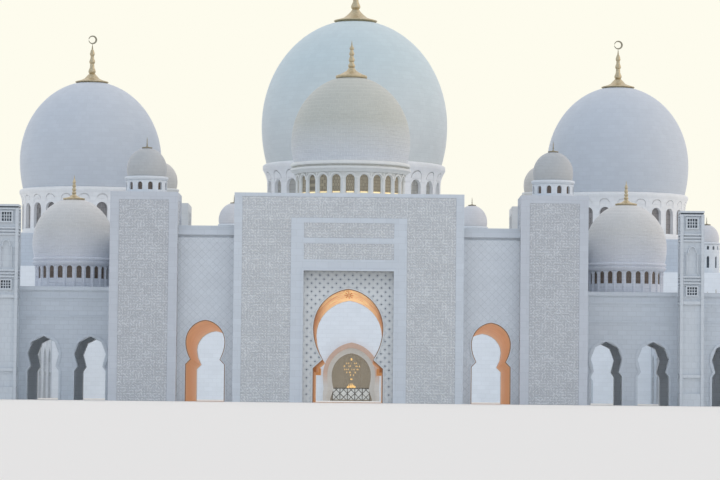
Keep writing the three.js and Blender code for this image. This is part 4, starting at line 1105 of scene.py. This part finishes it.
DOOR_FACE = 130.45
DOOR_HALF = 3.1
DOOR_TOP = 2.1
DOOR_PITCH = 1.24
door_line = [(-3.1, 0.2), (3.1, 0.2), (3.0, 1.9), (2.6, DOOR_TOP), (-2.6, DOOR_TOP), (-3.0, 1.9)]
petals = bmesh.new()
for i in range(5):
    rosette(petals, (i - 2) * DOOR_PITCH, 1.1, 6, 0.24, 0.42, 0.2, 0.08)
bmesh.ops.translate(petals, vec=(0, DOOR_FACE * M, 0), verts=petals.verts)
doors = bmesh.new()
plate(doors, door_line, DOOR_FACE, DOOR_FACE + 0.1)
door_marble = cladding("door_marble", "#E6E6E0", 2, 2, glow=0.1)
set_piece("hall_door_leaves", join(doors, petals), door_marble, "bright_marble")
tracery = bmesh.new()
strap_lattice(tracery, -DOOR_HALF, DOOR_HALF, 0.2, DOOR_TOP, DOOR_PITCH, 0.09, DOOR_FACE - 0.06,
              DOOR_FACE + SUNK, door_line, within=True)
for i in range(6):
    x = DOOR_PITCH * i - DOOR_HALF
    block(tracery, x - 0.05, x + 0.05, DOOR_FACE - 0.08, DOOR_FACE + 0.12, 0, DOOR_TOP)
block(tracery, -DOOR_HALF, DOOR_HALF, DOOR_FACE - 0.09, DOOR_FACE + 0.13, DOOR_TOP - 0.05, DOOR_TOP + 0.05)
bronze = metal("dark_bronze", "#6F6A62", 0.45)
set_piece("hall_door_tracery", tracery, bronze, "gilding")

CHANDELIER_Y = 137.0
TIERS = ((4.3, 0.35, 3, 0.26), (4.75, 0.8, 5, 0.26), (5.25, 1.15, 7, 0.26), (5.8, 1.35, 7, 0.26),
         (6.3, 0.85, 5, 0.26), (3.6, 0.12, 3, 0.3), (2.35, 0.25, 5, 0.9), (2.3, 0.5, 7, 0.6),
         (2.25, 0.75, 6, 0.35))
light_gold = metal("lit_gold", "#EBBE6A", 0.3)
feed(light_gold.node_tree.nodes["Principled BSDF"],
     {"Emission Color": linear("#FFC766"), "Emission Strength": 3.0})
crystal = turned(0, CHANDELIER_Y, [(0, 1.5), (0.14, 1.6), (0.1, 1.9), (0, 2.1)], 12)
join(crystal, turned(0, CHANDELIER_Y, [(0, 6.75), (0.12, 6.85), (0.17, 7.0), (0.12, 7.15), (0, 7.25)], 12))
rods = turned(0, CHANDELIER_Y, [(0, 1.9), (0.03, 2.0), (0.03, 27.2), (0, 27.2)], 12)
for height, reach, count, length in TIERS:
    drops = bmesh.new()
    for low, below, above, share in ((height, 0.08, 0.015, 0.7), (height - length * 0.3, 0.015, 0.08, 0.3)):
        middle = Vector((0, FRONT + (CHANDELIER_Y - reach) * M, (low + length * share / 2) * M))
        stud(drops, Matrix.Translation(middle), 6, below, above, length * share)
    arms = bmesh.new()
    block(arms, -0.01, 0.01, CHANDELIER_Y - reach, CHANDELIER_Y, height - 0.01, height + 0.01)
    turn = Matrix.Rotation(height * 2.3, 3, "Z")
    for tier in (drops, arms):
        bmesh.ops.rotate(tier, cent=(0, FRONT + CHANDELIER_Y * M, 0), matrix=turn, verts=tier.verts)
        copies_round(tier, 0, CHANDELIER_Y, count)
    join(crystal, drops)
    join(rods, arms)
set_piece("hall_chandelier", crystal, light_gold, "gilding", "chandelier", soften=40)
set_piece("hall_chandelier_rods", rods, bronze, "gilding", soften=40)


# Prayer hall walls. Plain marble with tall windows, each in a raised frame and filled with a
# marble lattice, and with level mouldings under the parapet.
HALL_HALF = 66.0
HALL_BACK = 190.0
HALL_TOP = 22.0
HALL_PROUD = 0.12
HALL_WINDOW = 1.6
LANCET = [(-HALL_WINDOW, 2.5), (-HALL_WINDOW, 8.5), (0, 11.0), (HALL_WINDOW, 8.5), (HALL_WINDOW, 2.5)]
LANCET_FRAME = [(-2.0, 2.1), (-2.0, 8.7), (0, 11.7), (2.0, 8.7), (2.0, 2.1)]
lattices = bmesh.new()
glass = bmesh.new()
for row in ((HALL_HALF, 138.75, 1, 5, (0, 11, 0)), (-HALL_HALF, 138.75, -1, 5, (0, 11, 0)),
            (-44, HALL_BACK, 2, 9, (11, 0, 0))):
    window = bmesh.new()
    band_between(window, LANCET + LANCET[:1], LANCET_FRAME + LANCET_FRAME[:1], -HALL_PROUD, SUNK)
    strap_lattice(window, -HALL_WINDOW, HALL_WINDOW, 2.5, 11.0, 0.8, 0.12, 0.5, 0.7, LANCET, within=True)
    join(lattices, along_wall(window, *row))
    pane = bmesh.new()
    plate(pane, LANCET, 0.9, 1.0)
    join(glass, along_wall(pane, *row))
set_piece("hall_window_lattices", lattices, cladding("window_lattice_marble", "#C3CCD6", 2, 2), "marble")
set_piece("hall_window_glass", glass, window_glass("grey_window_glass", "#8F8D90", 0.9), "glazing")
parapets = bmesh.new()
for low, high in ((HALL_TOP - 0.5, HALL_TOP), (HALL_TOP - 2.0, HALL_TOP - 1.7), (0, 1.2)):
    blocks(parapets, HALL_HALF, HALL_HALF + HALL_PROUD, HALL_FRONT, HALL_BACK + HALL_PROUD, low, high)
    block(parapets, -HALL_HALF, HALL_HALF, HALL_BACK, HALL_BACK + HALL_PROUD, low, high)
set_piece("hall_parapet_mouldings", parapets, smooth_marble, "marble")
trim = bmesh.new()
arch_mouldings(trim, (-56, -38, -30, 30, 38, 56), HALL_FRONT, HALL_PROUD)
for low, high in ((27.5, 28.0), (26.0, 26.3)):
    block(trim, -22.6, 22.6, HALL_FRONT - HALL_PROUD, HALL_FRONT + SUNK, low, high)
set_piece("hall_front_trim", trim, smooth_marble, "bright_marble")


# Turrets. Small domes on round drums flank the middle of the hall's front and stand at its
# corners, where the tall drums have slender windows under a row of little ones.
TURRET_Y = 134.0
TURRET = {"drum_radius": 2.55, "cornice_radius": 2.7, "base": 29.5, "base_radius": 2.45, "widest": 30.2,
          "radius": 2.58, "crown": 33.1, "windows": (12,), "turn": 1}
CORNER_TURRET = {"drum_radius": 2.2, "cornice_radius": 2.36, "base": 27.2, "base_radius": 2.0, "widest": 27.8,
                 "radius": 2.1, "crown": 30.25, "windows": (9, 14), "turn": 0}
turret_stone = small_dome_marble("turret_dome_marble", "#D8D8DA")
for name, turret_x, turret, pane_glass, rows in (
        ("hall_turret", 20.05, TURRET, brown_glass, [(28.0, 29.05, (0.3, 28.25, 28.6, 28.9))]),
        ("corner_turret", 59.6, CORNER_TURRET, slate_glass,
         [(21.4, 25.5, (0.22, 22.9, 24.5, 24.85)), (25.5, 26.8, (0.2, 25.95, 26.3, 26.58))])):
    drum, shell, panes, finial = small_dome(turret_x, TURRET_Y, turret, rows)
    set_pair(name + "_stone", drum, drum_stone, "marble", name, soften=35)
    set_pair(name + "_dome", shell, turret_stone, "marble", soften=35)
    set_pair(name + "_panes", panes, pane_glass, "glazing", soften=35)
    set_pair(name + "_finial", finial, shaded_gilding, "gilding", soften=40)


# Great domes. The three domes of the hall stand on tall drums with round-headed windows. Above each window a
# blind arch cuts into the corbels that carry the cornice out. Every gilded finial ends in a crescent of
# darker gilding, painted as in shade, and all of them face the front.
ARCH_GAP = 0.17


def corbels(radius, half, spring, crown, top, reach):
    """One bay of the corbelled band: a blind arch, with a shadow gap all round the stone that fills it."""
    edge = math.pi * radius / DRUM_BAYS
    foot = spring - 0.6
    head = round_head(half, spring, crown, 12)[1:-1]
    shape = bmesh.new()
    plate(shape, [(-edge, foot), (-half, foot), (-half, spring), *head, (half, spring), (half, foot),
                  (edge, foot), (edge, top), (-edge, top)], -0.1, 0.1)
    plate(shape, round_head(half - ARCH_GAP, spring, crown - ARCH_GAP, 12), -0.1, 0.05)
    for i in range(1, 7):
        level = foot + (top - foot) * i / 7
        bmesh.ops.bisect_plane(shape, geom=everything(shape), plane_co=(0, 0, level * M), plane_no=(0, 0, 1))
    for vert in shape.verts:
        if vert.co.y < FRONT:
            vert.co.y -= reach * max(0, (vert.co.z / M - foot) / (top - foot)) ** 2.2 * M
    return shape


def crescent(x, y, height, radius):
    """A nearly closed ring, thick at its right side, in the plane that faces the front."""
    shape = bmesh.new()
    rows = []
    for i in range(22):
        angle = math.radians(-170 + 340 * i / 21)
        thick = 0.12 + 0.2 * math.cos(angle / 2) ** 2
        middle = Vector((x + radius * math.cos(angle), 0, height + radius * math.sin(angle)))
        out = Vector((math.cos(angle), 0, math.sin(angle)))
        corners = [(corner, depth) for corner in (middle - out * thick / 2, middle + out * thick / 2)
                   for depth in (-0.06, 0.06)]
        rows.append([shape.verts.new((corner.x * M, FRONT + (y + depth) * M, corner.z * M))
                     for corner, depth in corners])
    for low, high in zip(rows, rows[1:]):
        for a, b in ((0, 1), (1, 3), (3, 2), (2, 0)):
            shape.faces.new((low[a], low[b], high[b], high[a]))
    for row in (rows[0], rows[-1]):
        shape.faces.new((row[0], row[1], row[3], row[2]))
    bmesh.ops.recalc_face_normals(shape, faces=shape.faces)
    return shape


DOME_Y = 165.0
DOME_STEPS = 144
# Painted light: the great dome's low colour makes its lower part lighter and warmer, as warm light thrown up
# from the roofs below.
GREAT = {
    "x": 0.0, "radius": 16.58, "base": 41.9, "base_radius": 15.6, "widest": 48.85, "crown": 67.95,
    "drum_radius": 15.4, "foot": 28.0, "window": (1.2, 32.5, 37.6, 38.8), "blind_arch": (1.35, 39.0, 40.4),
    "corbel_top": 40.95, "lip": 16.3, "stone": "#CDDBDD", "low": ("#D9DEDD", 45, 60), "glass": "#B4B2AB",
    "finial_foot": [(0, -0.2), (3.3, -0.05), (3.78, 0.3), (3.88, 0.36), (3.88, 0.48), (3.4, 0.62), (2.7, 0.8),
                    (2.1, 1.03), (1.43, 1.57), (1.0, 2.0), (0.8, 2.24), (0.67, 2.5)],
    "bulbs": ((2.55, 3.85, 0.86), (4.2, 5.3, 0.68), (5.7, 6.8, 0.52)), "tip": 8.5, "crescent": 0.72}
SIDE = {
    "x": 47.05, "radius": 12.6, "base": 37.0, "base_radius": 11.95, "widest": 42.3, "crown": 56.5,
    "drum_radius": 12.0, "foot": 28.6, "window": (0.98, 29.8, 33.3, 34.28), "blind_arch": (1.0, 34.9, 35.75),
    "corbel_top": 36.3, "lip": 12.6, "stone": "#CBD1D8", "low": None, "glass": "#928E8C",
    "finial_foot": [(0, -0.2), (2.5, -0.05), (2.88, 0.2), (2.97, 0.25), (2.97, 0.36), (2.5, 0.5), (1.9, 0.68),
                    (1.32, 0.95), (0.92, 1.4), (0.6, 1.75)],
    "bulbs": ((1.8, 2.95, 0.66), (3.6, 4.6, 0.53), (5.0, 6.05, 0.43)), "tip": 7.3, "crescent": 0.67}
for place, dome, put in (("great", GREAT, set_piece), ("side", SIDE, set_pair)):
    x, drum_radius, foot, lip = dome["x"], dome["drum_radius"], dome["foot"], dome["lip"]
    top, corbel_top = dome["base"], dome["corbel_top"]
    half, sill, shoulder, crown = dome["window"]
    drum = window_bay(2 * math.pi * drum_radius / DRUM_BAYS, foot, corbel_top, dome["window"], 0, 0.9)
    join(drum, corbels(drum_radius, *dome["blind_arch"], corbel_top, lip - drum_radius - 0.1))
    moulding(drum, [(-half, sill), *round_head(half, shoulder, crown, 14), (half, sill)], 0.14, -0.07, SUNK)
    bend_round(drum, x, DOME_Y, drum_radius, DRUM_BAYS)
    inner = drum_radius - 0.9
    cornice = [(inner, corbel_top - 0.1), (lip - 0.12, corbel_top - 0.1), (lip - 0.04, corbel_top + 0.02),
               (lip, corbel_top + 0.12), (lip, top - 0.3), (lip - 0.12, top - 0.2), (lip - 0.3, top - 0.05),
               (inner, top), (inner, corbel_top - 0.1)]
    join(drum, turned(x, DOME_Y, cornice, DOME_STEPS),
         ring(x, DOME_Y, drum_radius + 0.15, 0.5, sill - 0.9, sill - 0.45, DOME_STEPS),
         ring(x, DOME_Y, drum_radius + 0.2, 0.5, foot, foot + 0.6, DOME_STEPS))
    drum_finish = cladding(place + "_drum_marble", "#F3F3F2", 1.0, 0.75, joint=0.05, shade=0.94,
                           centre=(x, DOME_Y, drum_radius))
    put(place + "_drum_ring", drum, drum_finish, "marble", place + "_drum", soften=35)
    put(place + "_drum_glass", ring(x, DOME_Y, drum_radius - 0.55, 0.1, sill - 0.3, crown + 0.3),
        window_glass(place + "_window_glass", dome["glass"], 0.9), "glazing", soften=35)
    dome_finish = cladding(place + "_dome_marble", dome["stone"], 1.5, 0.75,
                           centre=(x, DOME_Y, dome["radius"]), low=dome["low"])
    put(place + "_dome_shell", turned(x, DOME_Y, dome_profile(dome, 10, 36), DOME_STEPS), dome_finish,
        "marble", place + "_dome", soften=35)
    put(place + "_gilt_finial", gilt_finial(x, DOME_Y, dome, dome["finial_foot"], dome["bulbs"], dome["tip"]),
        gilding, "gilding", place + "_finial", soften=40)
    seat = seat_height(dome, max(r for r, z in dome["finial_foot"]))
    height = seat + dome["tip"] + dome["crescent"] - 0.05
    crescents = [crescent(side_x, DOME_Y, height, dome["crescent"]) for side_x in sorted({-x, x})]
    set_piece(place + "_crescents", join(*crescents), shaded_gilding, "gilding", soften=40)
